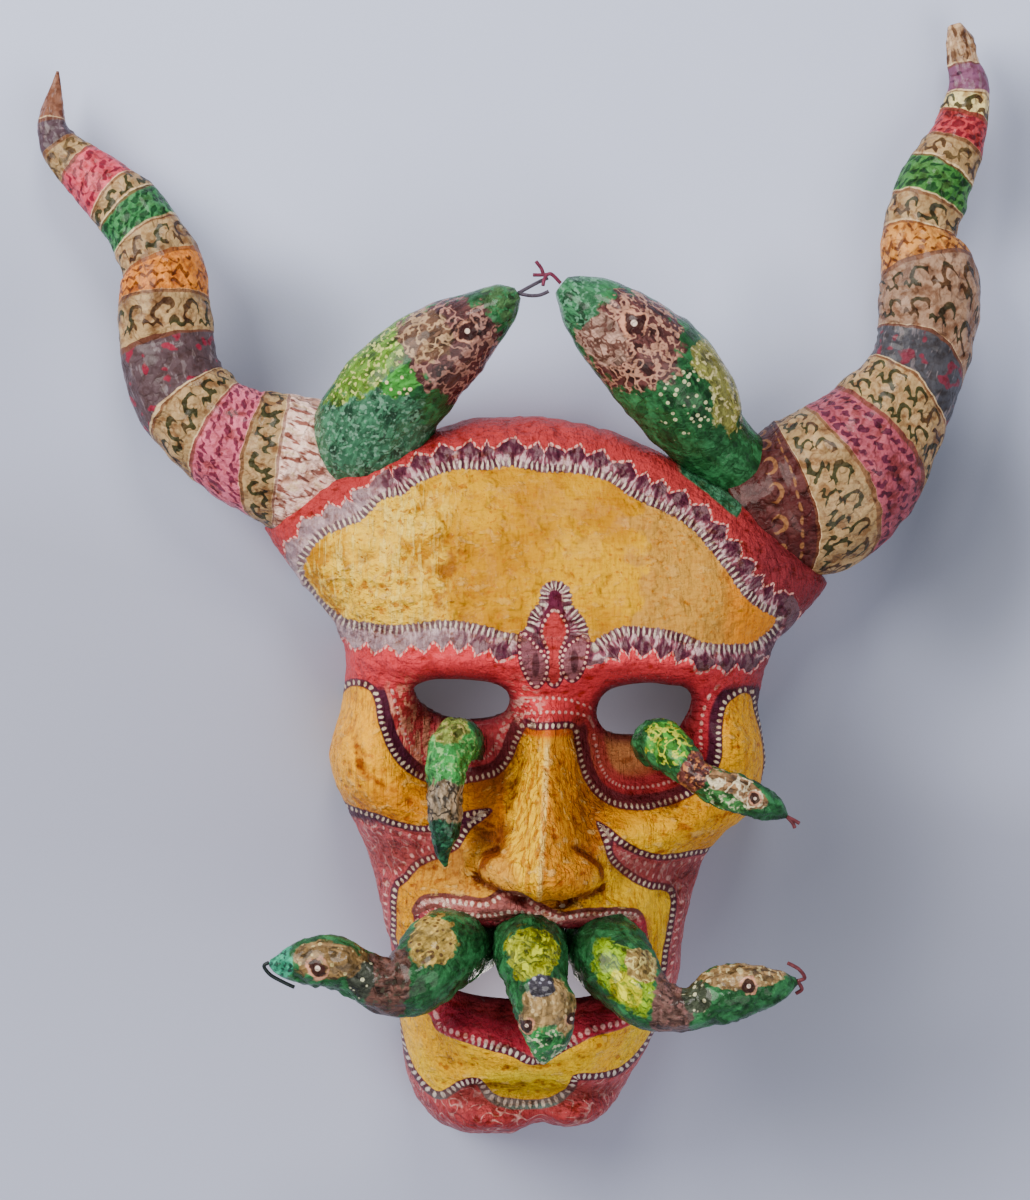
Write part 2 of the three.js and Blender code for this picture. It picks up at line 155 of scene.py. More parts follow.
class Paint:
    def __init__(self, name, coat, shine=0.1):
        self.material = bpy.data.materials.new(name)
        self.material.use_nodes = True
        self.tree = self.material.node_tree
        self.tree.nodes.clear()
        self.shader = self.node("ShaderNodeBsdfPrincipled")
        for key, value in (("Coat Weight", coat), ("Coat Roughness", 0.1), ("Specular IOR Level", shine)):
            self.shader.inputs[key].default_value = value
        self.node("ShaderNodeOutputMaterial", Surface=self.shader.outputs[0])
        place = self.node("ShaderNodeTexCoord").outputs["Object"]
        self.place = self.vector("MULTIPLY", place, (MM, MM, MM))

    def join(self, value, socket):
        if isinstance(value, Wire):
            value = value.socket
        if isinstance(value, bpy.types.NodeSocket):
            self.tree.links.new(value, socket)
        elif socket.type == "RGBA" and len(value) == 3:
            socket.default_value = (*value, 1)
        else:
            socket.default_value = value

    # A node of any kind: its settings first, then its sockets, by name or by place in its list.
    def node(self, kind, settings=None, *values, **sockets):
        made = self.tree.nodes.new(kind)
        for key, value in (settings or {}).items():
            setattr(made, key, value)
        for value, socket in zip(values, made.inputs):
            self.join(value, socket)
        for key, value in sockets.items():
            self.join(value, made.inputs[key.replace("_", " ")])
        return made

    def number(self, operation, *values, clamp=False):
        made = self.node("ShaderNodeMath", {"operation": operation, "use_clamp": clamp}, *values)
        return Wire(self, made.outputs[0])

    def vector(self, operation, *values):
        return self.node("ShaderNodeVectorMath", {"operation": operation}, *values).outputs[0]

    def length(self, a, b):
        return self.number("SQRT", a * a + b * b)

    def split(self, vector):
        parts = self.node("ShaderNodeSeparateXYZ", None, vector)
        return [Wire(self, socket) for socket in parts.outputs]

    # What the mesh keeps on its points.
    def kept(self, key, output="Fac"):
        return Wire(self, self.node("ShaderNodeAttribute", {"attribute_name": key}).outputs[output])

    def noise(self, scale, detail=2, place=None, stretch=None):
        place = place or self.place
        if stretch:
            place = self.vector("MULTIPLY", place, stretch)
        made = self.node("ShaderNodeTexNoise", Vector=place, Scale=1 / scale, Detail=detail)
        return Wire(self, made.outputs[0]) - 0.5

    def blend(self, mask, under, over, kind="MIX"):
        made = self.node("ShaderNodeMix", {"data_type": "RGBA", "blend_type": kind})
        for value, index in ((mask, 0), (under, 6), (over, 7)):
            self.join(value, made.inputs[index])
        return made.outputs[2]

    # Coats laid on one after another, each with its mask and colour. A darkening coat multiplies what
    # is under it; most darkening coats are painted shade in creases, folds and hollows.
    def coats(self, colour, *coats, kind="MIX"):
        for mask, over in coats:
            colour = self.blend(mask, colour, over, kind)
        return colour

    def darkening_coats(self, colour, *coats):
        return self.coats(colour, *coats, kind="MULTIPLY")

    # A round or long spot in the plane of two numbers, in mm.
    def spot(self, a, b, wide, high=None):
        return self.length(a / wide, b / (high or wide)).below(1, 0.3 / wide)

    # A colour for each stretch of a number that runs from 0 to full, from rows of start and colour.
    def stretches(self, number, full, rows):
        ramp = self.node("ShaderNodeValToRGB", Fac=number / full)
        ramp.color_ramp.interpolation = "CONSTANT"
        while len(ramp.color_ramp.elements) < len(rows):
            ramp.color_ramp.elements.new(1)
        for element, (start, colour) in zip(ramp.color_ramp.elements, rows):
            element.position = max(start, 0) / full
            element.color = (*colour, 1)
        return ramp.outputs["Color"]

    def finish(self, colour, roughness, height, strength):
        bump = self.node("ShaderNodeBump", Height=height, Strength=strength, Distance=1 / MM)
        for value, key in ((colour, "Base Color"), (roughness, "Roughness"), (bump.outputs[0], "Normal")):
            self.join(value, self.shader.inputs[key])
        return self.material


SHADES = [  # middle and half widths of each place that gets less light, and how much darker it is
    (118, -100, 66, 135, 0.5),
    (172, 16, 62, 95, 0.85),
    (150, -150, 120, 130, 0.45),
    (-88, 92, 42, 42, 0.45),
    (100, 95, 30, 40, 0.2),
    (195, 160, 42, 55, 0.5),
    (-198, 125, 60, 85, 0.22),
]
board = Paint("pale_surface", coat=0)
x, y, _ = board.split(board.place)
# painted shade: darker lower down and to the left, where less light falls, and less so at the very bottom
low = (y + x * 0.3).below(35, 150) - y.below(-160, 130) * 0.3
board_colour = board.coats(
    (0.575, 0.635, 0.855),
    (board.noise(60, 3).above(0, 1.2), (0.615, 0.675, 0.895)),
    (low * 0.9, (0.36, 0.38, 0.50)),
)
for cx, cy, rx, ry, share in SHADES:
    shade = board.length((x - cx) / rx, (y - cy) / ry).below(0.6, 0.8)
    board_colour = board.blend(shade * shade * (3 - shade * 2) * share, board_colour, (0.17, 0.185, 0.24))
board.finish(board_colour, 0.75, board.noise(1.2, 2), 0.05)
bpy.ops.mesh.primitive_plane_add(size=6, location=(0, 0, -0.0003))
floor = bpy.context.object
floor.name = "surface"
floor.data.materials.append(board.material)


# The face: a hollow shell of pasted paper, moulded by hand. It has the same rows, hills, nose and lips as
# the solid, on a fine grid whose cells are about as wide as high, with its folds and lumps. The functions
# that make any piece come first.

# A smooth curve through stations, one row each, where t runs from 0 to the last row: between two of them,
# the cubic whose slope at each is half the way from the one before it to the one after it.
def along(stations, t):
    last = len(stations) - 1
    i = np.minimum(np.floor(t), last - 1).astype(int)
    s = (t - i)[..., None]
    a, b, c, d = (stations[np.clip(i + n, 0, last)] for n in (-1, 0, 1, 2))
    return b + 0.5 * s * (c - a + s * (2 * a - 5 * b + 4 * c - d + s * (3 * (b - c) + d - a)))


# From 0 to 1 with level ends: three times t squared, less twice t cubed.
def smooth(t):
    t = np.clip(t, 0, 1)
    return t * t * (3 - 2 * t)


# A hill of height 1 over 0: e to the power of minus |t| to the power of edge.
def bell(t, edge=2):
    return np.exp(-(np.abs(t) ** edge))


def unit(vectors):
    return vectors / np.maximum(np.linalg.norm(vectors, axis=-1, keepdims=True), 1e-9)


KNOTS = 64


# Lumps of pasted paper: a random height at each knot of a square grid of the given size, smooth in between.
def lumps(x, y, size, seed):
    heights = np.random.default_rng(seed).uniform(-1, 1, (KNOTS, KNOTS))
    i, j = np.floor(x / size).astype(int), np.floor(y / size).astype(int)
    s, t = smooth(x / size - i), smooth(y / size - j)

    def at(a, b):
        return heights[(i + a) % KNOTS, (j + b) % KNOTS]

    return (at(0, 0) * (1 - s) + at(1, 0) * s) * (1 - t) + (at(0, 1) * (1 - s) + at(1, 1) * s) * t


# Three sizes of lumps, each half as wide as the one before and lower.
def crumple(x, y, size, seed):
    return sum(lumps(x, y, size / 2**n, seed + n) / 1.7**n for n in range(3))


# A mesh object from whole arrays: points in mm, kept inside the model's box, faces as rows of point
# numbers, numbers kept on the points, paint coordinates on the faces' corners, and the faces' materials.
def add_piece(node, materials, points, faces, numbers=None, paint=None, face_slots=None):
    low, high = np.array(cad_box) * MM
    points = np.clip(points, low, high) / MM
    mesh = bpy.data.meshes.new(f"painted_{node}")
    flat = np.concatenate([np.ravel(f) for f in faces]).astype(np.int32)
    sizes = np.concatenate([np.full(len(f), f.shape[1]) for f in faces]).astype(np.int32)
    mesh.vertices.add(len(points))
    mesh.vertices.foreach_set("co", points.astype(np.float32).ravel())
    mesh.loops.add(len(flat))
    mesh.loops.foreach_set("vertex_index", flat)
    mesh.polygons.add(len(sizes))
    mesh.polygons.foreach_set("loop_start", np.concatenate([[0], np.cumsum(sizes)[:-1]]).astype(np.int32))
    mesh.polygons.foreach_set("use_smooth", np.ones(len(sizes), bool))
    for key, values in (numbers or {}).items():
        kind, field = ("FLOAT", "value") if values.ndim == 1 else ("FLOAT_VECTOR", "vector")
        mesh.attributes.new(key, kind, "POINT").data.foreach_set(field, values.astype(np.float32).ravel())
    if paint is not None:
        mesh.uv_layers.new(name="paint").data.foreach_set("uv", paint.astype(np.float32).ravel())
    for material in materials:
        mesh.materials.append(material)
    if face_slots is not None:
        mesh.polygons.foreach_set("material_index", face_slots.astype(np.int32))
    mesh.validate()
    mesh.update()
    piece = bpy.data.objects.new(f"painted_{node}", mesh)
    scene.collection.objects.link(piece)
    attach(piece, "root")
    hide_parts(node)


ROWS = np.array(
    [  # y, x, half width, rise, slope, depth, squareness of the section
        [10.5, 12.5, 105.5, 50.5, -0.097, 0, 5],
        [9.2, 12.5, 104, 50, -0.097, 36, 5],
        [5, 12.8, 101, 46, -0.09, 52, 4.6],
        [-3, 14, 95, 33, -0.07, 66, 3.8],
        [-13, 16.5, 86, 12, -0.035, 76, 3.2],
        [-23, 17, 79.5, 1, 0, 79, 3],
        [-42, 14.2, 77.2, 0, 0, 75, 3],
        [-65, 13, 80.6, 0, 0, 72, 2.9],
        [-83, 13.2, 74.4, 0, 0, 72, 2.7],
        [-98, 9.3, 64, 0, 0, 73, 2.6],
        [-121, 8.5, 56.5, 0, 0, 77, 2.6],
        [-146, 9.2, 52, 0, 0, 77, 2.6],
        [-165, 5.6, 47.4, 0, 0, 75, 2.6],
        [-181, 3, 41.8, -1, 0.02, 69, 2.7],
        [-190, 3, 36, -5, 0.05, 52, 2.9],
        [-196.5, 3, 32, -7.5, 0.07, 0, 3],
    ]
)
HILLS = [  # x, y, half widths, height, edge
    (-29, -28, 46, 6.5, 8, 2),
    (57, -29, 46, 6.5, 8, 2),
    (-20, -56, 25, 22, -19, 4),
    (46, -58, 26, 24, -19, 4),
    (-50, -64, 17, 21, 12, 3),
    (-24, -82, 23, 7, 7, 2),
    (75, -68, 17, 23, 12, 3),
    (48, -88, 25, 9, 9, 3),
    (-41, -99, 17, 10, -7, 2),
    (63, -108, 15, 10, -8, 2),
    (-5, -98, 9, 8, 9, 2),
    (27, -99, 9, 8, 9, 2),
    (12, -88, 22, 22, 10, 2),
    (9, -124, 46, 25, 8, 5),
    (7, -138, 36, 17, -15, 4),
    (6, -181, 34, 4, -5, 2),
    (-9, -192, 15, 8, 11, 3),
    (23, -190, 13, 7, 10, 3),
]
NOSE = np.array(
    [  # y, x of the ridge, height, half width
        [-40, 13, 0, 7],
        [-48, 12.8, 9, 7],
        [-60, 12.3, 13, 7.5],
        [-72, 11.8, 18, 8.5],
        [-84, 11.3, 24, 10],
        [-95, 10.8, 31, 12],
        [-102, 10.5, 32, 13],
        [-107, 10.5, 20, 13],
        [-111, 10.5, 0, 12],
    ]
)
LIPS = [  # x, y, curl, dip, width, height, reach
    (6, -111.5, -0.002, 5, 3.5, 5, 38),
    (8, -165, 0.0105, 0, 9, 11, 38),
]
WALL = 4


def relief(x, y):
    height = sum(h * bell(np.hypot((x - cx) / rx, (y - cy) / ry), edge) for cx, cy, rx, ry, h, edge in HILLS)
    ridge = along(NOSE, np.interp(-y, -NOSE[:, 0], np.arange(len(NOSE))))
    height += np.maximum(ridge[..., 2], 0) * bell((x - ridge[..., 1]) / ridge[..., 3], 2.5)
    for cx, cy, curl, dip, width, top, reach in LIPS:
        line = cy + curl * (x - cx) ** 2 - dip * bell((x - 13) / 8)
        height += top * bell((x - cx) / reach, 6) * bell((y - line) / width)
    return height


# Folds of the paper: smooth lines seen from the front, with their half width and how far they stand out.
FOLDS = [
    ([(12, -55), (11.4, -66), (11.2, -79), (9.8, -95), (8.8, -106)], 1.6, 2.0),
    ([(20.5, -58), (21.5, -70), (23.5, -84)], 1.5, 1.1),
    ([(-12, -103), (-11.2, -98.5), (-8.6, -95), (-4.8, -92.5)], 1.3, -2.2),
    ([(-12, -103), (-4.8, -105.6), (0, -108), (4.5, -110.5)], 1.7, -2.8),
    ([(17, -111), (23.6, -108.2), (31, -106)], 1.6, -2.8),
    ([(21, -91), (25.4, -94), (30, -98), (31.5, -102)], 1.3, -1.8),
    ([(2, -58), (0.5, -68), (-1, -79)], 2, -1.0),
    ([(-30, -86), (-20, -90), (-14, -97), (-15, -104)], 2.2, 1.5),
    ([(-49, 6), (-41, 1), (-33, 3), (-24, -2)], 1.6, 1.2),
    ([(-52, -4), (-42, -7), (-34, -5)], 1.6, 1.0),
    ([(-6, 18), (0, 12), (9, 9), (15, 12)], 1.4, 0.9),
    ([(-45, -72), (-53, -66), (-56, -56)], 2.2, -1.2),
    ([(-14, -178), (0, -176.5), (14, -176)], 1.5, -1.1),
    ([(-24, -168), (-8, -169), (10, -168.5), (26, -165)], 1.4, -0.8),
]


def folds(x, y):
    height = np.zeros_like(x)
    for corners, width, rise in FOLDS:
        line = along(np.array(corners, float), np.linspace(0, len(corners) - 1, 10 * len(corners)))
        near = np.min([np.hypot(x - a, y - b) for a, b in line], axis=0)
        height += rise * bell(near / width)
    return height


# The outside of the face: u runs from -1 at the left rim to 1 at the right, and v down the rows. A section
# is a squared dome from rim to rim, bowed and sloped as its row says, and the relief fades in off the rim.
def face_point(u, v):
    across = np.sin(np.pi * u / 2) - 0.1 * np.sin(2 * np.pi * u) * (1 - u * u)
    y, x, half, rise, slope, depth, box = np.moveaxis(along(ROWS, v), -1, 0)
    x = x + half * across
    notch = smooth(v - len(ROWS) + 3) * 2.6 * bell((x - 11) / 6)
    arch = np.where(rise > 0, 2, 4)
    y = y + slope * half * across + rise * (1 - np.abs(across) ** arch) + notch
    dome = np.maximum(1 - np.abs(across) ** box, 0) ** (1 / box)
    inland = smooth(dome / 0.6) * smooth(depth / 50)
    return np.stack([x, y, np.maximum(depth, 0) * dome + relief(x, y) * inland], -1)


# Places with even steps between them: the mean length of a grid's steps along one side is shared out.
def even_steps(points, axis, places, count):
    steps = np.linalg.norm(np.diff(points, axis=axis), axis=-1).mean(1 - axis)
    lengths = np.concatenate([[0], np.cumsum(steps)])
    return np.interp(np.linspace(0, lengths[-1], count), lengths, places)


WIDE, TALL = 190, 236
FINE_WIDE, FINE_TALL = 400, 600
u, v = np.linspace(-1, 1, FINE_WIDE), np.linspace(0, len(ROWS) - 1, FINE_TALL)
measured = face_point(*np.meshgrid(u, v))
u, v = even_steps(measured, 1, u, WIDE), even_steps(measured, 0, v, TALL)
skin = face_point(*np.meshgrid(u, v))


# Holes and paint edges are closed lines, smooth through their corners.
def closed_line(corners, parts=6):
    corners = np.array(corners, float)
    ring = np.concatenate([corners[-1:], corners, corners[:2]])
    t = np.arange(len(corners) * parts) / parts
    return along(ring, t + 1)


# For each point, how far outside a closed line it is, how far along the line its nearest place lies, and
# that place. A point is inside where a way to the right from it crosses the line an odd number of times.
def from_line(line, x, y):
    start, end = line, np.roll(line, -1, axis=0)
    lengths = np.linalg.norm(end - start, axis=1)
    begin = np.concatenate([[0], np.cumsum(lengths)[:-1]])
    points = np.stack([x.ravel(), y.ravel()], -1)
    best = np.full(len(points), 1e9)
    run = np.zeros(len(points))
    nearest = np.zeros((len(points), 2))
    crossings = np.zeros(len(points), int)
    for a, b, length, s in zip(start, end, lengths, begin):
        share = np.clip(((points - a) @ (b - a)) / max(length**2, 1e-9), 0, 1)
        foot = a + share[:, None] * (b - a)
        far = np.linalg.norm(points - foot, axis=1)
        closer = far < best
        best = np.where(closer, far, best)
        run = np.where(closer, s + share * length, run)
        nearest[closer] = foot[closer]
        above = (a[1] > points[:, 1]) != (b[1] > points[:, 1])
        rise = b[1] - a[1] if abs(b[1] - a[1]) > 1e-9 else 1e-9
        crossings += above & (points[:, 0] < (b[0] - a[0]) * (points[:, 1] - a[1]) / rise + a[0])
    outside = np.where(crossings % 2 == 1, -best, best)
    return outside.reshape(x.shape), run.reshape(x.shape), nearest.reshape(*x.shape, 2)


# An ellipse with squarer corners: the powers of its sine and cosine are under 1.
def squared_ellipse(x, y, half_width, half_height, power=2 / 2.6):
    turn = np.linspace(0, 2 * np.pi, 49)[:-1]
    c, s = (np.sign(f(turn)) * np.abs(f(turn)) ** power for f in (np.cos, np.sin))
    return np.stack([x + half_width * c, y + half_height * s], -1)


LEFT_EYE = [
    (-34.8, -37.5), (-29, -34.6), (-22.5, -34.2), (-14.6, -34.5), (-6.8, -35.5), (-2, -38.2), (-1, -42.5),
    (-3.8, -47), (-10, -49.6), (-18, -50.2), (-26, -48.6), (-32.4, -43.8),
]
RIGHT_EYE = [
    (29.9, -45.5), (31.6, -40.5), (35.8, -37.4), (42.9, -35.9), (49.6, -35.6), (55.4, -36.4), (60.6, -37.1),
    (63.4, -40.3), (63, -44.8), (60.9, -49.4), (58.6, -52.7), (52.9, -54.8), (44.6, -55.2), (37.9, -54.7),
    (33.5, -53), (30.7, -49.5),
]
HOLES = [closed_line(LEFT_EYE, 3), closed_line(RIGHT_EYE, 3), squared_ellipse(7, -133.5, 36, 13.5)]

# Lumps stand highest on the left of the forehead and by the nose, and fade towards the rim. The wings of
# the nose are two more hills.
RIM_FADE = 30
WING_HEIGHT, WING_HALF = 4.5, 6.5
x, y = skin[..., 0], skin[..., 1]
off_rim = smooth(skin[..., 2] / RIM_FADE)
crumpled = 0.4 + 1.5 * bell(np.hypot((x + 36) / 28, (y - 8) / 26))
crumpled += 0.5 * bell(np.hypot((x + 4) / 30, (y + 98) / 18))
lumpy = crumpled * (crumple(x, y, 9, 3) + 0.7 * crumple(x, y, 4.5, 31))
lumpy += 0.6 * crumple(x, y, 26, 9) + folds(x, y)
for cx, cy, rx in ((-4.5, -99.5, 7.5), (23.5, -100.5, 8)):
    lumpy += WING_HEIGHT * bell(np.hypot((x - cx) / rx, (y - cy) / WING_HALF), 2.5)
normals = unit(np.cross(np.gradient(skin, axis=0), np.gradient(skin, axis=1)))
outer = skin + normals * (lumpy * off_rim)[..., None]


# The points that are corners of any of the marked cells.
def corners_of(cells):
    marked = np.zeros((TALL, WIDE), bool)
    for a in (0, 1):
        for b in (0, 1):
            marked[a : a + TALL - 1, b : b + WIDE - 1] |= cells
    return marked


# Cells over a hole go, and the points left round it slide onto its line and round over its edge.
EDGE_WIDTH, EDGE_DROP = 1.6, 0.9
kept = np.ones((TALL - 1, WIDE - 1), bool)
hole_distance = np.full((TALL, WIDE), 1e9)
for line in HOLES:
    outside, _, foot = from_line(line, outer[..., 0], outer[..., 1])
    middle = (outside[1:, 1:] + outside[:-1, 1:] + outside[1:, :-1] + outside[:-1, :-1]) / 4
    gone = middle < 0
    kept &= ~gone
    border = corners_of(gone) & corners_of(~gone)
    shift = (foot - outer[..., :2]) * border[..., None]
    di, dj = np.gradient(outer, axis=1), np.gradient(outer, axis=0)
    area = di[..., 0] * dj[..., 1] - di[..., 1] * dj[..., 0]
    area = np.where(np.abs(area) < 0.05, -0.05, area)
    p = (shift[..., 0] * dj[..., 1] - shift[..., 1] * dj[..., 0]) / area
    q = (di[..., 0] * shift[..., 1] - di[..., 1] * shift[..., 0]) / area
    outer = outer + di * np.clip(p, -1.2, 1.2)[..., None] + dj * np.clip(q, -1.2, 1.2)[..., None]
    hole_distance = np.minimum(hole_distance, np.where(border, 0, np.maximum(outside, 0)))
outer[..., 2] -= EDGE_DROP * np.clip(1 - hole_distance / EDGE_WIDTH, 0, 1) ** 2

# The inside of the wall: the way inwards is the surface's own direction, evened out over some 10 mm, so
# that the inside is smoother than the outside and doesn't fold. At the rim it is level.
INLAND_ROWS, INLAND_COLUMNS = 40, 34
EVENING_PASSES = 70
OFF_FLOOR = 0.3
ways = normals.copy()
rim = np.zeros((TALL, WIDE), bool)
rim[[0, -1], :] = True
rim[:, [0, -1]] = True
row, column = np.indices((TALL, WIDE))
row = np.clip(row, INLAND_ROWS, TALL - 1 - INLAND_ROWS)
column = np.clip(column, INLAND_COLUMNS, WIDE - 1 - INLAND_COLUMNS)
away = (skin - skin[row, column]) * (1, 1, 0)
ways[rim] = unit(away)[rim]
for _ in range(EVENING_PASSES):
    mean = ways[1:-1, 1:-1] * 2 + ways[:-2, 1:-1] + ways[2:, 1:-1] + ways[1:-1, :-2] + ways[1:-1, 2:]
    ways[1:-1, 1:-1] = unit(mean)
inner = outer - WALL * ways - (lumpy * off_rim * 0.7)[..., None] * normals
inner[..., 2] = np.where(rim, 0, np.maximum(inner[..., 2], OFF_FLOOR))

# The two sides of the wall, and between them a strip round the rim and each hole, where a cell's side has
# no other cell beside it.
number = np.arange(TALL * WIDE).reshape(TALL, WIDE)
front = np.stack([number[:-1, :-1], number[1:, :-1], number[1:, 1:], number[:-1, 1:]], -1)[kept]
under = TALL * WIDE
starts, ends = front.ravel(), np.roll(front, -1, axis=1).ravel()
lone = ~np.isin(starts * (2 * under) + ends, ends * (2 * under) + starts)
s, e = starts[lone], ends[lone]
wall = np.stack([e, s, s + under, e + under], -1)
back = front[:, ::-1] + under
face_points = np.concatenate([outer.reshape(-1, 3), inner.reshape(-1, 3)])
face_faces = np.concatenate([front, wall, back])
face_slots = np.concatenate([np.zeros(len(front) + len(wall)), np.ones(len(back))])

# The painted areas, as closed lines seen from the front: the forehead panel, which has the pointed ornament
# between the brows cut out of it, the cheeks with the nose and the muzzle, the lips, and the drop and
# leaves of the ornament.
LIP_TOP = [
    (-31.9, -111.4), (-23.9, -109.6), (-15, -109.7), (-9.2, -109.8), (-3.4, -106.2), (3.3, -105.8),
    (10, -111.6), (16.7, -114.2), (23.4, -113.3), (33.1, -113.3), (43.1, -114.9), (46.2, -119.2),
    (48.4, -131.6), (52.2, -139.5),
]
OUTLINES = {
    "forehead": [
        (-75.1, 5.3), (-68.6, 15), (-59.4, 19.4), (-53.1, 22), (-46, 29.1), (-38.8, 30.8), (-32.7, 35.3),
        (-20.3, 39.7), (-8.7, 39.6), (-0.8, 41), (10.7, 38.7), (19.6, 38.8), (32.9, 36.1), (41.6, 30.3),
        (47.8, 27.2), (55.8, 23.6), (63.7, 18.3), (69.8, 11.2), (75.9, 3.3), (81.3, -4.6), (87.9, -9.9),
        (94.4, -13.6), (86.2, -21), (76.6, -21.8), (67.5, -21.3), (58.6, -17.7), (48, -16), (39.3, -15.5),
        (32.3, -18.1), (27.4, -21.2), (26.4, -16), (24.3, -11.6), (21, -8), (20.6, -3.8), (18.6, -0.7),
        (15, 0.4), (11.5, -0.7), (9.6, -3.8), (9.2, -7.6), (6, -11.2), (4.6, -16), (1, -18.1), (-6, -16.4),
        (-14.7, -14.2), (-23.4, -13.4), (-32.3, -14.3), (-41.2, -15.2), (-50.4, -14.4), (-59.8, -12.7),
        (-66.7, -8.2), (-71.3, -2.8),
    ],
    "midface": [
        (6.8, -51.5), (20.2, -51.6), (21.9, -56), (23.2, -62.7), (25.3, -69.4), (29.5, -75.2),
        (34.5, -78.6), (41.2, -80.3), (49.7, -80.1), (59.9, -77.3), (68.1, -72), (72.3, -66.1), (74, -59.4),
        (74.2, -51.1), (75.6, -44.5), (78.7, -41.2), (85, -39.8), (87.7, -46.9), (90.6, -56.6), (91.2, -67),
        (89.5, -79.5), (84, -88.7), (74.7, -95.9), (64.8, -95.9), (54.8, -96.2), (46, -94), (38.2, -89.3),
        (33.3, -85.2), (29.1, -83.5), (31.5, -89.8), (34, -97.4), (41.1, -104.2), (48.1, -108.3),
        (56.2, -111.5), (55.8, -121), (53.7, -130.6),
        *LIP_TOP[::-1],
        (-34.9, -116.2), (-34.9, -121.1), (-38.3, -131.3), (-41.6, -129.1), (-41.4, -121.6), (-41, -110.5),
        (-37, -106.1), (-33, -101.2), (-27.3, -98.3), (-19.3, -93.8), (-14.5, -86.3), (-9.1, -82.2),
        (-7.1, -79.2), (-16.1, -80.3), (-22.3, -81.8), (-30.2, -85.6), (-38.2, -85.1), (-46.2, -82.7),
        (-54.6, -81), (-61.3, -80.1), (-65.6, -74.7), (-68.2, -65), (-67.4, -55.2), (-65, -46.3),
        (-61.2, -39.5), (-55.4, -37), (-49.8, -39.5), (-47.7, -47.2), (-46, -53.4), (-42.9, -60.5),
        (-38.3, -66.1), (-32.1, -70.3), (-22.7, -72.3), (-14.8, -71.1), (-5.3, -68.5), (0.2, -62.1),
        (2.2, -56.6), (4.9, -50.8),
    ],
    "lower": [
        (-40.5, -157.7), (-30, -152.5), (-26.9, -157.6), (-17.9, -159.7), (-9.2, -161.9), (-0.5, -164.2),
        (8.1, -167.7), (19.6, -161.9), (28.4, -158), (37.2, -156.4), (43.4, -155.8), (50.8, -159.4),
        (47.3, -165.7), (38.9, -172), (31.7, -172.6), (21.8, -172.1), (19, -178.1), (12.2, -182.1),
        (2.4, -182.5), (-6.4, -180.4), (-11.3, -173.9), (-18.1, -175.2), (-26.2, -180.9), (-32.4, -177),
        (-37.7, -169.6),
    ],
    "upper": [
        (-34.9, -117.1), *LIP_TOP,
        (48.6, -138.8), (44.2, -126), (43.1, -120.3), (38.1, -118.4), (28.4, -120), (21.7, -122),
        (10, -117.3), (0.4, -115.6), (-9.2, -117.4), (-19.9, -116.3), (-26.8, -113.4),
    ],
    "drop": [
        (14.8, -10.2), (17.4, -13), (18.9, -16.8), (17.9, -20.4), (16.4, -24), (16.2, -28), (16.6, -33),
        (14.6, -36), (12.6, -33), (12.8, -28), (12.8, -24), (11.4, -20.4), (10.6, -16.8), (12.2, -13),
    ],
    "left_leaf": [
        (3.6, -18.6), (7.6, -22.6), (10.6, -26), (11.6, -30), (10.2, -34.4), (8.2, -36.2), (5.6, -32.6),
        (3.4, -26.6),
    ],
    "right_leaf": [
        (25.6, -19.6), (25.4, -24.6), (24, -30), (21.4, -34), (18.8, -32.4), (17.9, -28.6), (18.6, -24.6),
        (21.6, -21.4),
    ],
}
x, y, z = np.moveaxis(outer, -1, 0)
numbers = {}
for key, corners in OUTLINES.items():
    outside, run, _ = from_line(closed_line(corners), x.ravel(), y.ravel())
    numbers[key] = np.tile(np.stack([outside, run, np.zeros_like(run)], -1), (2, 1))
# How far a point lies below the mean of what is round it, out to some 10 mm.
HOLLOW_PASSES = 40
mean = z.copy()
for _ in range(HOLLOW_PASSES):
    mean[1:-1, 1:-1] = (mean[:-2, 1:-1] + mean[2:, 1:-1] + mean[1:-1, :-2] + mean[1:-1, 2:]) / 4
hollow = np.clip((mean - z) / 2.5, -1, 1)
for key, values in (("hollow", hollow), ("hole", np.minimum(hole_distance, 50)), ("fold", folds(x, y))):
    numbers[key] = np.tile(values.ravel(), 2)

RED = (0.47, 0.042, 0.046)
ROSE = (0.46, 0.08, 0.09)
CREAM = (0.86, 0.72, 0.52)
PLUM = (0.07, 0.012, 0.03)
BLUSH = (0.90, 0.45, 0.40)

face = Paint("face_paint", coat=0.05, shine=0.04)
x, y, _ = face.split(face.place)
wobble = face.noise(5, 2)
fine = face.noise(1.6, 2)
broad = face.noise(28, 2)


# How far outside a painted area a place is, and how far along its line, with a hand's unsteadiness.
def line_numbers(key, shake=0.8):
    out, run, _ = face.split(face.kept(key, "Vector"))
    return out + wobble * shake, run + wobble * 1.5


def soft_spot(cx, cy, rx, ry, blur=0.6):
    return face.length((x - cx) / rx, (y - cy) / ry).below(1, blur)


# Beads in a row along an outline, or ticks across it: how far apart and out, half width and half length.
def beads(out, run, apart, away, wide, long):
    return face.spot(run.cell(apart), out - away, wide, long)


# Rose with pink squiggles on the jaw and in the hollows of the cheeks, clear red on the brow and the rim.
squiggles = abs(face.noise(4.2, 0)).below(0.035, 0.04) * face.noise(7, 1).above(-0.02, 0.1)
stain = face.noise(6, 3).above(0.06, 0.12) * y.below(-70, 10)
colour = face.coats(
    ROSE,
    (broad.above(0, 0.4), (0.54, 0.09, 0.09)),
    (y.above(-72, 24), RED),
    (soft_spot(14, -30, 76, 14) * 0.8, (0.80, 0.05, 0.07)),
    (soft_spot(6, -196, 45, 12), (0.38, 0.04, 0.045)),
    # painted shade on the far right of the rim, which is turned away from the light
    (soft_spot(102, -6, 20, 44, 0.8) * 0.85, (0.20, 0.025, 0.035)),
    (squiggles * y.below(-78, 6) * 0.85, (0.72, 0.36, 0.33)),
    (stain * 0.5, (0.22, 0.02, 0.03)),
)

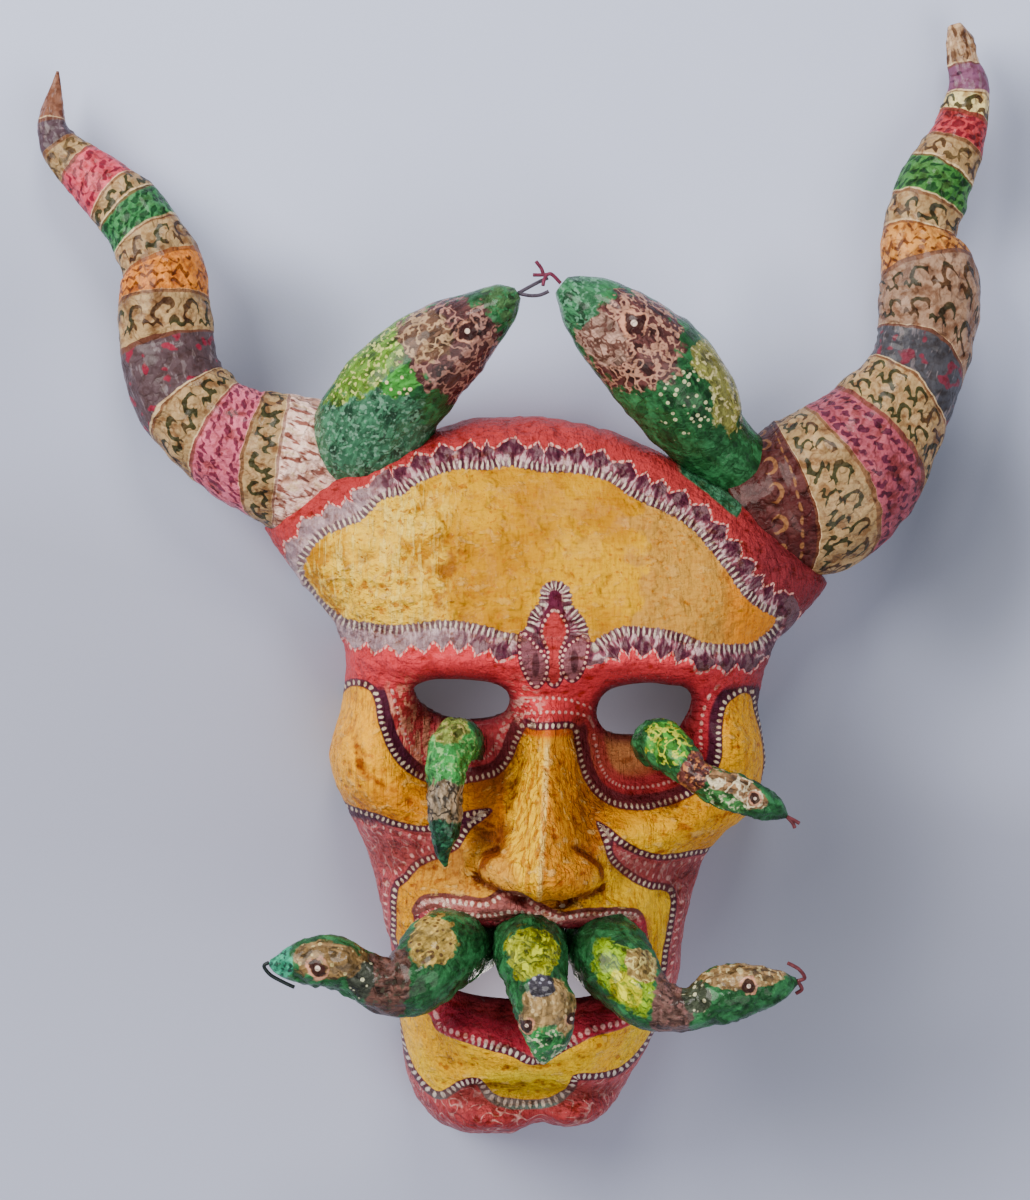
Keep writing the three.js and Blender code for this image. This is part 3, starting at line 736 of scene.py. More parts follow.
# Eye sockets: red against the nose, strokes of pink and orange at both sides of the left one, and an
# orange-brown patch in the right one inside a red ring.
outer_strokes = face.noise(3, 1, stretch=(1.8, 0.5, 1)).above(0.02, 0.08) * soft_spot(-36, -53, 12, 17)
inner_strokes = face.noise(2.2, 1, stretch=(0.5, 1.4, 1)).above(0.05, 0.08) * soft_spot(3, -52, 9, 16)
colour = face.coats(
    colour,
    (soft_spot(-14, -58, 23, 18), (0.70, 0.07, 0.10)),
    (soft_spot(50, -62, 32, 24), (0.50, 0.03, 0.04)),
    (soft_spot(39, -60, 15, 9), (0.62, 0.24, 0.08)),
    (outer_strokes, (0.92, 0.36, 0.24)),
    (inner_strokes * 0.8, BLUSH),
)

# Round the cheeks and the nose: a plum band, wide in the sockets, a row of blush beads and cream ticks.
# Inside it, gold that is brightest on the left side of the nose and on the muzzle. Much of the gold is
# painted light: the nose lit on its left side and shaded on its right, a highlight along its ridge,
# shadow beside it and under the left cheek pad, and light on the right of the muzzle.
out, run = line_numbers("midface")
socket = y.inside(-86, -37, 3) * (1 - soft_spot(13.6, -44, 15, 9, 0.2))
side = x - 11.6 - (y + 66) * 0.06
veins = face.noise(3.4, 2, stretch=(2.2, 0.22, 1)).above(0.04, 0.08)
gold = face.coats(
    (0.70, 0.28, 0.0),
    (broad.above(0.05, 0.3), (0.82, 0.38, 0.0)),
    (soft_spot(-56, -60, 18, 26), (0.98, 0.44, 0.0)),
    # painted shade under the left cheek pad, painted shadow beside the nose, and its shaded right flank
    (soft_spot(-34, -79, 30, 7), (0.62, 0.23, 0.0)),
    (soft_spot(-6, -77, 9, 20), (0.36, 0.11, 0.005)),
    (soft_spot(25, -88, 7, 16), (0.62, 0.20, 0.01)),
    (soft_spot(-12, -101, 22, 9), (0.74, 0.34, 0.03)),
    # painted light: the left side of the nose lit, its right side shaded, and a highlight along the ridge
    (soft_spot(6, -78, 8, 28, 0.4) * side.below(0, 1), (1.0, 0.56, 0.0)),
    (soft_spot(17, -78, 10, 30, 0.4) * side.above(0, 1), (0.78, 0.31, 0.01)),
    (side.inside(-0.9, 0.9, 0.8) * y.inside(-108, -56, 3) * 0.8, (0.98, 0.66, 0.16)),
    # painted light on the right of the muzzle
    (soft_spot(47, -116, 19, 28), (1.0, 0.58, 0.0)),
    (soft_spot(80, -60, 12, 34) * 0.7, (0.95, 0.46, 0.0)),
    (y.above(-54, 1.5) * x.inside(0, 26), (0.60, 0.12, 0.01)),
    (veins * soft_spot(13, -76, 14, 30) * 0.5, (0.55, 0.14, 0.0)),
    (veins * face.noise(9, 1).above(0, 0.1) * 0.6, (0.50, 0.16, 0.0)),
)
golden = out.below(0)
colour = face.coats(
    colour,
    (socket * out.inside(0, 5, 0.6), PLUM),
    (out.inside(5, 11, 1.5) * socket * x.above(15, 4) * 0.8, (0.50, 0.03, 0.05)),
    (beads(out, run, 2.3, 7.2, 0.6, 0.6) * socket, BLUSH),
    (beads(out, run, 3.1, 4.6, 0.45, 0.9) * y.below(-86, 3), BLUSH),
    (out.below(0, 0.3), gold),
    (out.inside(-0.2, 2.6, 0.5) * 0.9, PLUM),
    (beads(out, run, 2.1, 1.2, 0.5, 0.85) * 0.9, CREAM),
)

# The forehead: gold with pale straw patches, the one at the left partly painted sheen, and painted
# highlights on the folds at its left; round it ticks, a mauve band, plum flames and zigzag beads.
out, run = line_numbers("forehead")
near = y.above(-34, 5)
teeth = (run + wobble * 2).zigzag(7.6) * 1.8
hairs = face.noise(1.5, 1, face.node("ShaderNodeCombineXYZ", X=run, Y=out * 0.3).outputs[0])
pale_side = (-x - y * 0.6).above(28, 20) * 0.6
mauve = face.coats(
    (0.26, 0.08, 0.11),
    (hairs.above(0.03, 0.08), (0.66, 0.42, 0.44)),
    (hairs.below(-0.09, 0.08), (0.10, 0.02, 0.04)),
    (pale_side, (0.52, 0.40, 0.42)),
)
pale = face.noise(9, 3)
sun = face.coats(
    (0.52, 0.22, 0.0),
    (broad.above(0, 0.2), (0.74, 0.37, 0.0)),
    # a pale patch at the left, partly painted sheen, and painted highlights on the folds beside it
    ((pale * 60 - abs(x + 46)).above(-17, 6) * 0.9, (1.0, 0.60, 0.03)),
    (veins * x.below(-26, 20) * 0.6, (1.0, 0.74, 0.14)),
    ((pale * 40 + x).above(44, 4) * 0.9, (0.56, 0.27, 0.045)),
    (x.above(76, 9) * 0.85, (0.78, 0.24, 0.0)),
    (face.noise(2.2, 2).above(0.15, 0.05) * 0.8, (0.50, 0.17, 0.0)),
)
band = (out - teeth).below(8.6)
flames = (out + teeth * 1.2 + hairs * 3).above(5.2, 1) * (1 - pale_side)
panel = (out + hairs * 2.4).below(0, 0.4) * near
calm = panel * x.above(-20, 24)
golden = golden + panel
colour = face.coats(
    colour,
    (band * near, mauve),
    (flames * band * near * 0.8, PLUM),
    (beads(out - teeth, run, 1.55, 9.2, 0.55, 0.55) * near, BLUSH),
    ((out + hairs * 4).inside(-0.4, 3, 0.7) * near * 0.7, (0.07, 0.02, 0.03)),
    (beads(out + hairs * 3, run, 1.95, 1.6, 0.38, 1.5) * near, (0.80, 0.68, 0.54)),
    (panel, sun),
)

# The root of the right crown snake ends in a green point on the rim, between the face and the horn.
root = ((x - 65) * 0.645 + (y - 38.7) * 0.765 + wobble * 2).above(-2.5, 0.6)
root = root * ((81.6 - x) * 0.88 + (y - 24.7) * 0.476 + wobble * 2).above(0, 0.6) * x.above(60, 2)
root_green = face.blend(hairs.above(0, 0.15), (0.02, 0.10, 0.045), (0.07, 0.22, 0.12))
colour = face.blend(root, colour, root_green)

# Between the brows the pointed ornament: plum at its head, a red drop inside beads, and two pale leaves.
colour = face.blend(soft_spot(14.8, -7, 8, 7) * out.above(3.4, 0.4), colour, (0.12, 0.015, 0.04))
ORNAMENT = (
    ("drop", RED, 0.4),
    ("left_leaf", (0.24, 0.08, 0.10), 0.6),
    ("right_leaf", (0.28, 0.10, 0.12), 0.6),
)
for key, ground, away in ORNAMENT:
    out, run = line_numbers(key, 0.3)
    colour = face.coats(
        colour,
        (out.below(1.4, 0.3), (0.14, 0.02, 0.04)),
        (out.below(0, 0.3), ground),
        (beads(out, run, 1.9, away, 0.5, 0.5), (0.90, 0.50, 0.42)),
    )
for cx, cy in ((8.2, -29), (21.6, -27.6)):
    colour = face.blend(soft_spot(cx, cy, 1.3, 4.2, 0.3), colour, (0.10, 0.03, 0.04))
# Rows of beads cross the root of the nose.
for level, bend in ((-45.4, 0.012), (-40.6, 0.02)):
    drop = y - level + (x - 13.6) * (x - 13.6) * bend
    row_beads = face.spot(x.cell(2.2), drop + wobble * 0.8, 0.55) * x.inside(-3, 30, 2)
    colour = face.blend(row_beads, colour, BLUSH)

# Lips: mauve with beads above, crimson inside, and a golden lower lip with ticks below it that turn teal.
out, run = line_numbers("upper")
colour = face.coats(
    colour,
    (out.below(0.6, 0.3), (0.42, 0.13, 0.12)),
    (out.inside(-0.8, 0.7, 0.4) * 0.8, (0.12, 0.03, 0.02)),
    (beads(out, run, 2.2, -1.7, 0.6, 0.85), (0.92, 0.70, 0.58)),
)
out, run = line_numbers("lower")
golden = golden + out.below(0)
mouth = y.inside(-164, -118, 3) * x.inside(-34, 48, 4) * out.above(0.5)
low = y.below(-160, 3)
teal = face.blend(soft_spot(2, -186, 30, 9), PLUM, (0.10, 0.20, 0.19))
lip = face.coats(
    (1.0, 0.50, 0.0),
    (broad.above(0, 0.3), (1.0, 0.62, 0.0)),
    (soft_spot(4, -176, 18, 6), (0.95, 0.68, 0.01)),
)
colour = face.coats(
    colour,
    (mouth * 0.9, (0.42, 0.02, 0.045)),
    (beads(out, run, 2.5, 2.3, 0.75, 1.0) * mouth, (0.90, 0.42, 0.40)),
    (out.inside(0, 3.2, 0.5) * low * 0.9, teal),
    (beads(out, run, 2.2, 1.5, 0.55, 1.15) * low, (0.78, 0.68, 0.58)),
    (out.below(0, 0.3), lip),
)

# Painted shade darkens the wrinkles, creases, pleats and folds, the hollows and the edges of the holes,
# and painted highlights light a few crests of the paper. The right side of the forehead is calm: there
# the weave of the paper shows instead.
busy = 1 - calm
rumpled = (face.noise(24, 1).above(-0.06, 0.16) * 0.7 + 0.3) * (1 - calm * 0.55)
wrinkles = face.noise(5, 4, stretch=(1, 1.6, 1))
weave = face.noise(1.3, 1, stretch=(1, 0.2, 1)) + face.noise(1.3, 1, stretch=(0.2, 1, 1))
lump = face.noise(6, 2).above(0.12, 0.24) * face.noise(21, 1).above(-0.02, 0.1)
creases = abs(face.noise(8, 3, stretch=(1, 1.5, 1))).below(0.015, 0.06) * rumpled
pleats = abs(face.noise(5.5, 2, stretch=(1.5, 0.45, 1))).below(0.02, 0.05) * soft_spot(14, -80, 20, 38)
# painted highlights on a few crests of the wrinkles, which also stand out in the bump
lit_crests = wrinkles.above(0.12, 0.06) * rumpled * golden
fold = face.kept("fold") + fine * 2 + wobble * 3
# painted shade in the hollows
colour = face.blend((face.kept("hollow") + fine * 0.6).above(0.4, 0.5) * 0.5, colour, (0.14, 0.02, 0.012))
# painted shade in the wrinkles, creases and pleats; the fine mottle and the weave are the paper's own tone
colour = face.darkening_coats(
    colour,
    (wrinkles.below(-0.12, 0.08) * rumpled * 0.8, (0.5, 0.26, 0.12)),
    (creases * busy * 0.4, (0.5, 0.3, 0.2)),
    (fine.above(0.06, 0.1) * busy * 0.35, (0.6, 0.45, 0.3)),
    (weave.above(0.1, 0.12) * calm * 0.35, (0.7, 0.5, 0.35)),
    (pleats * 0.4, (0.6, 0.3, 0.15)),
)
colour = face.blend(lit_crests * 0.35, colour, (0.95, 0.62, 0.20))
# painted shade in the grooves of the folds
colour = face.darkening_coats(colour, (fold.below(-0.9, 1) * 0.9, (0.24, 0.07, 0.05)))
# painted shade at the edges of the holes
colour = face.blend(face.kept("hole").below(2.6, 3) * 0.8, colour, (0.12, 0.012, 0.02))
height = wrinkles * rumpled * 4 + lit_crests * 0.3 + fine * (0.55 - calm * 0.4) + veins * busy * 0.3
height = height + weave * calm * 0.6 + lump * panel * 1.1 - creases * busy * 0.4 - pleats * 0.7
face_paint = face.finish(colour, fine * 0.3 + 0.33, height, 0.9)

bare = Paint("bare_paper", coat=0)
mottled = bare.coats(
    (0.30, 0.20, 0.12),
    (bare.noise(14, 3).above(0, 0.4), (0.42, 0.30, 0.19)),
    (bare.noise(3, 2).above(0.12, 0.1) * 0.6, (0.52, 0.42, 0.30)),
)
bare_paper = bare.finish(mottled, 0.85, bare.noise(2.2, 3), 0.5)
paints = [face_paint, bare_paper]
add_piece("face", paints, face_points, [face_faces], numbers, face_slots=face_slots)

# The horns: rolled and bent paper, pasted behind the upper corners of the face and painted in bands. What
# makes a horn makes the snakes and the tongues too: a body swept along a smooth line through its stations.
# A station holds x, y, z and the half width.
face_near = outer[::3, ::3].reshape(-1, 3)
face_ways = normals[::3, ::3].reshape(-1, 3)
AT_ONCE = 2000  # points looked up in one array
IN_WALL = 2  # how deep a root closes inside the paper wall


# For each point, the nearest place on the face, the way out of the face there, and how far out it is.
def nearest_face(points):
    flat = points.reshape(-1, 3)
    found = np.zeros(len(flat), int)
    for k in range(0, len(flat), AT_ONCE):
        apart = flat[k : k + AT_ONCE, None, :] - face_near[None]
        found[k : k + AT_ONCE] = (apart**2).sum(-1).argmin(1)
    near, way = face_near[found].reshape(points.shape), face_ways[found].reshape(points.shape)
    return near, way, ((points - near) * way).sum(-1)


# Rings round a smooth line, each an ellipse with lumps on it. Where trimmed, each line along the body
# starts where it leaves the face, so that the root closes inside the paper wall.
def sweep(stations, sides, rings, flat=1.0, side_to=(0, 0, 1), rough=0.3, size=6, seed=5, trim=True):
    stations = np.array(stations, float)
    t = np.linspace(0, len(stations) - 1, rings)
    steps = np.linalg.norm(np.diff(along(stations, t)[:, :3], axis=0), axis=1)
    length = np.concatenate([[0], np.cumsum(steps)])
    t = np.interp(np.linspace(0, length[-1], rings), length, t)
    length = np.linspace(0, length[-1], rings)
    line = along(stations, t)
    tangent = unit(np.gradient(line[:, :3], axis=0))
    across = unit(np.cross(tangent, side_to))
    up = np.cross(across, tangent)
    turn = 2 * np.pi * np.arange(sides) / sides - np.pi / 2
    half = np.maximum(line[:, 3], 0.4)[:, None]
    swell = rough * crumple(turn[None] * 9, length[:, None], size, seed) * smooth(half / 6)
    body = line[:, None, :3] + across[:, None] * ((half + swell) * np.cos(turn))[..., None]
    body = body + up[:, None] * ((half * flat + swell) * np.sin(turn))[..., None]
    run = np.broadcast_to(length[:, None], body.shape[:2]).copy()
    girth = np.broadcast_to(np.pi * half * (1 + flat), run.shape).copy()
    if trim:
        above = nearest_face(body)[2]
        clear = above > -1.0
        first = np.where(clear.all(0), 0, rings - 1 - np.argmax(~clear[::-1], axis=0))
        share = np.linspace(0, 1, rings)[:, None]
        place = first[None] + share * (rings - 1 - first[None])
        low = np.minimum(np.floor(place).astype(int), rings - 2)
        part = place - low
        column = np.arange(sides)[None]
        body = body[low, column] * (1 - part[..., None]) + body[low + 1, column] * part[..., None]
        run = length[low] * (1 - part) + length[low + 1] * part
        girth = girth[low, column]
    return body, run, girth


# The mesh of a body: its rings, a root drawn together inside the wall, and a point at its tip. Its paint
# coordinates are the way along it and the way round it, in mm.
def sweep_mesh(body, run, girth, cap_rings=6, in_wall=True):
    rings, sides = run.shape
    centre = body[0].mean(0)
    shares = np.arange(1, cap_rings) / cap_rings
    cap = body[0][None] * (1 - shares)[:, None, None] + centre * shares[:, None, None]
    if in_wall:
        _, way, above = nearest_face(cap)
        cap = cap - way * (IN_WALL + above)[..., None]
        _, way, above = nearest_face(centre)
        centre = centre - way * (IN_WALL + above)
    rows = np.concatenate([cap[::-1], body])
    count = len(rows) * sides
    points = np.concatenate([rows.reshape(-1, 3), centre[None], body[-1].mean(0)[None]])
    n = np.arange(count).reshape(len(rows), sides)
    m = np.roll(n, -1, axis=1)
    quads = np.stack([n[:-1], n[1:], m[1:], m[:-1]], -1).reshape(-1, 4)
    root = np.stack([np.full(sides, count), n[0], m[0]], -1)
    end = np.stack([np.full(sides, count + 1), m[-1], n[-1]], -1)
    runs = np.concatenate([np.repeat(run[:1], cap_rings - 1, 0), run])
    girths = np.concatenate([np.repeat(girth[:1], cap_rings - 1, 0), girth])
    at = np.arange(sides + 1) / sides - 0.5
    near_side = np.stack([runs, at[:-1] * girths], -1)
    far_side = np.stack([np.roll(runs, -1, axis=1), at[1:] * np.roll(girths, -1, axis=1)], -1)
    corners = (
        np.stack([near_side[:-1], near_side[1:], far_side[1:], far_side[:-1]], -2),
        np.stack([near_side[0], near_side[0], far_side[0]], -2),
        np.stack([near_side[-1], far_side[-1], near_side[-1]], -2),
    )
    return points, [quads, root, end], np.concatenate([paint.reshape(-1, 2) for paint in corners])


LEFT_HORN = [
    (-62, 35, 24, 21), (-79, 43, 25, 25.5), (-102, 52, 28, 20.5), (-120, 67.5, 29, 18),
    (-126.2, 86, 28, 17.5), (-127.3, 100.2, 28, 17.1), (-128, 114.3, 27, 15), (-133.9, 127.1, 25.5, 13.8),
    (-141.2, 136.9, 24, 12.7), (-150, 145.5, 22, 11.3), (-158.5, 152.8, 20.5, 9), (-165.3, 159.5, 19, 7.2),
    (-169.5, 167.2, 18, 6), (-169.5, 175, 17, 4.2), (-168.7, 182, 16, 2.2), (-168, 189, 16, 0.5),
]
RIGHT_HORN = [
    (84, 22, 24, 24), (107, 31, 26, 29.8), (119.2, 39.3, 28, 28.8), (129.4, 49.6, 29, 25.8),
    (138, 61.5, 29, 21.3), (145.8, 74, 29, 17.8), (150.2, 86, 28.5, 17.5), (152.3, 100.2, 28, 18.4),
    (151.8, 111.8, 27.5, 17.6), (149, 124.2, 26, 14.4), (150.2, 132.6, 25, 13.4), (153.8, 143.4, 24, 13.9),
    (160.4, 156.3, 22, 11.9), (165, 167.2, 20.5, 9.6), (168, 179.5, 19, 8), (167, 190.5, 18, 6.3),
    (165, 199.8, 17, 4.9), (163.6, 205.9, 16, 2.6),
]
# A band: where it starts along the horn, its colour, the colour of its marks and their kind.
BUFF = (0.38, 0.24, 0.105)
INK = (0.022, 0.03, 0.008)
LEFT_BANDS = [
    (0, (0.95, 0.64, 0.54), (0.24, 0.06, 0.04), "straw"),
    (27, BUFF, INK, "worms"),
    (39, (0.62, 0.13, 0.20), (0.17, 0.02, 0.05), "dashes"),
    (54.5, BUFF, INK, "worms"),
    (69, (0.085, 0.05, 0.058), (0.26, 0.015, 0.04), "stains"),
    (90.5, BUFF, INK, "worms"),
    (106, (0.66, 0.21, 0.02), (0.16, 0.035, 0.0), "zigzag"),
    (119, BUFF, INK, "worms"),
    (131, (0.035, 0.20, 0.06), (0.008, 0.06, 0.018), "dashes"),
    (143, BUFF, INK, "worms"),
    (150, (0.62, 0.07, 0.11), (0.22, 0.01, 0.03), "dashes"),
    (168, BUFF, (0.13, 0.08, 0.03), "worms"),
    (178, (0.085, 0.05, 0.065), (0.35, 0.22, 0.26), "stains"),
    (187.5, (0.24, 0.10, 0.06), (0.10, 0.03, 0.02), "stains"),
]
RIGHT_BANDS = [
    (0, (0.075, 0.014, 0.014), (0.30, 0.13, 0.05), "arcs"),
    (28, BUFF, INK, "worms"),
    (47, (0.36, 0.07, 0.10), (0.09, 0.012, 0.035), "dashes"),
    (64, BUFF, INK, "worms"),
    (84, (0.055, 0.054, 0.066), (0.18, 0.025, 0.045), "stains"),
    (101, (0.32, 0.19, 0.12), (0.03, 0.03, 0.012), "worms"),
    (128, (0.60, 0.25, 0.05), (0.16, 0.04, 0.0), "zigzag"),
    (140, BUFF, INK, "worms"),
    (151, (0.04, 0.17, 0.03), (0.008, 0.05, 0.012), "dashes"),
    (164.5, BUFF, (0.10, 0.06, 0.02), "worms"),
    (175, (0.52, 0.05, 0.06), (0.20, 0.01, 0.02), "dashes"),
    (186, (0.72, 0.58, 0.24), INK, "worms"),
    (195, (0.20, 0.07, 0.14), (0.06, 0.015, 0.05), "stains"),
    (206, (0.50, 0.32, 0.18), (0.12, 0.05, 0.02), "straw"),
]


# The kinds of mark. For each, off is the distance from the middle of the band along the horn, half is half
# the band, and round_it is the place round the horn, all in mm.
def rows_of(off, half, share):
    step = half * share
    off = off + step * 0.5
    row = (off / step).sum("FLOOR")
    return off - row * step - step * 0.5, row


# A curly stroke like a little worm: an open ring like the head of a 2, and a low wavy tail.
def worms(paint, off, half, round_it):
    wide = half.above(9.5, 0.1)
    side = off.sum("SIGN") * wide
    off = off - side * half * 0.46 + paint.noise(9, 1) * 5
    place = (round_it + side * 5 + half * 3 + paint.noise(13, 1) * 9).cell(9.4) + 2.2
    size = (half * (0.44 - wide * 0.17)).sum("MINIMUM", 2.8)
    a, b = place / size, (off - size * 0.25) / size
    ring = abs(paint.length(a, b) - 1) * size
    ring = ring + (a + b * 0.3).below(-0.1, 0.2) * b.below(-0.2, 0.2) * 9
    tail = abs(off + size * 0.9 - (place - 1).wave(3.7) * size * 0.3) / 1.25
    tail = tail + (1 - place.inside(0, 6.9, 0.2)) * 9
    return (ring.sum("MINIMUM", tail) + paint.noise(2.4, 1) * 1.6).below(0.8, 0.3)


def dashes(paint, off, half, round_it):
    off, row = rows_of(off, half, 0.62)
    place = (round_it + row * 2.9).cell(4)
    return paint.spot(off + place * 0.5 + paint.noise(3, 1) * 5, place + paint.noise(3.4, 1) * 5, 1.0, 2.1)


def zigzags(paint, off, half, round_it):
    off, row = rows_of(off, half, 0.58)
    line = off - (round_it + row * 1.7).zigzag(4.6) * 1.1
    return line.inside(-0.8, 0.8, 0.4) * paint.noise(3, 1).above(-0.03, 0.08)


def arcs(paint, off, half, round_it):
    place = round_it.cell(10)
    ring = paint.spot(off, place, 3.2) * (1 - paint.spot(off + 1.2, place, 2.6, 2.2))
    return ring.sum("MAXIMUM", paint.spot(off - half * 0.6, round_it.cell(4.3), 0.7, 1.5))


KINDS = {"worms": worms, "dashes": dashes, "zigzag": zigzags, "arcs": arcs}
KIND_KEYS = ["", *KINDS, "straw", "stains"]
HORN_END = 260
WIDEST_HALF = 50
LAST_BAND = 34


# The bands run straight round the horn but for a lean, a bow and a slide on one side of its thick stretch.
# A ramp gives each place its band's start, half width and kind, as shares of the largest of each.
def horn_paint(name, bands, lean, slide):
    paint = Paint(name, coat=0.16)
    across = paint.node("ShaderNodeUVMap", {"uv_map": "paint"}).outputs[0]
    run, round_it, _ = paint.split(across)
    lengthwise = paint.noise(2.2, 2, across, (0.32, 1, 1))
    fade = (1 - run / 140).sum("MAXIMUM", 0.1)
    run = run + (-round_it).sum("MAXIMUM", 0) * run.inside(76, 116, 16) * slide
    run = run + round_it * lean * fade + round_it * round_it * 0.004 + paint.noise(7, 2) * 2.6
    round_it = round_it + paint.noise(4, 1) * 2.0

    starts = [band[0] for band in bands]
    stops = [*starts[1:], starts[-1] + LAST_BAND]
    ground = paint.stretches(run, HORN_END, [(start, colour) for start, colour, _, _ in bands])
    ink = paint.stretches(run, HORN_END, [(start, colour) for start, _, colour, _ in bands])
    facts = []
    for (start, _, _, kind), stop in zip(bands, stops):
        shares = (start / HORN_END, (stop - start) / 2 / WIDEST_HALF, KIND_KEYS.index(kind) / 10)
        facts.append((start, shares))
    start, half, kind = paint.split(paint.stretches(run, HORN_END, facts))
    half = half * WIDEST_HALF
    off = run - start * HORN_END - half
    is_kind = {key: abs(kind * 10 - n).below(0.5, 0.1) for n, key in enumerate(KIND_KEYS) if key}
    stains, straw = is_kind["stains"], is_kind["straw"]

    pale = paint.noise(9, 2).above(0.02, 0.12) * (1 - stains * 0.6)
    lighter = paint.vector("MULTIPLY_ADD", ground, (1.3, 1.3, 1.3), (0.02, 0.018, 0.015))
    ink = paint.blend(paint.noise(12, 1).above(0.06, 0.1) * is_kind["worms"], ink, (0.07, 0.03, 0.01))
    mark = paint.noise(5, 1).above(0.13, 0.05) * stains + lengthwise.above(0.07, 0.08) * straw
    for key, marks in KINDS.items():
        mark = mark + marks(paint, off, half, round_it) * is_kind[key]
    edge = half - abs(off)
    colour = paint.coats(
        ground,
        (pale * 0.8, lighter),
        # painted sheen: pale streaks along the dark stained bands
        (lengthwise.above(0.12, 0.06) * stains * 0.35, (0.34, 0.28, 0.30)),
        (lengthwise.below(-0.09, 0.08) * straw * 0.85, (0.86, 0.62, 0.40)),
        (mark * edge.above(0.8, 0.5) * 0.94, ink),
        (edge.below(0.75, 0.3) * off.below(0) * run.above(20) * 0.8, (0.80, 0.58, 0.32)),
        (edge.below(0.7, 0.3) * off.above(0) * 0.75, (0.16, 0.05, 0.02)),
    )

    # Painted shade in the creases and folds; the finer darker mottle is the paper's own tone.
    crease = paint.noise(5, 4)
    folded = abs(paint.noise(8, 2)).below(0.02, 0.06)
    creased = 1 - stains * 0.6
    colour = paint.darkening_coats(
        colour,
        (crease.below(-0.08, 0.1) * creased * 0.8, (0.42, 0.28, 0.2)),
        (paint.noise(2.4, 3).below(-0.06, 0.08) * 0.5, (0.55, 0.4, 0.3)),
        (folded * 0.5, (0.4, 0.3, 0.25)),
    )
    height = crease * creased * 3.2 + lengthwise * 0.6 - folded * creased * 0.6
    return paint.finish(colour, paint.noise(2, 2) * 0.3 + 0.34, height, 0.8)


HORN_SIDES, HORN_RINGS = 88, 260
for hand, stations, bands, seed, lean, slide in (
    ("left", LEFT_HORN, LEFT_BANDS, 21, 0.25, 0),
    ("right", RIGHT_HORN, RIGHT_BANDS, 34, -0.32, 0.35),
):
    swept = sweep(stations, HORN_SIDES, HORN_RINGS, flat=0.82, rough=0.7, size=8, seed=seed)
    points, faces, paint = sweep_mesh(*swept)
    rolled_paper = horn_paint(f"{hand}_horn_paint", bands, lean, slide)
    add_piece(f"{hand}_horn", [rolled_paper], points, faces, paint=paint)

# The snakes: bodies of pulped paper, painted green with patches. Two fat ones are pasted on the crown
# beside the horns, and thin ones come out of the eyes and the mouth.
GREEN = (0.014, 0.085, 0.025)
LIT_GREEN = (0.035, 0.19, 0.065)
BROWN = (0.12, 0.035, 0.03)
PALE = (0.88, 0.72, 0.40)
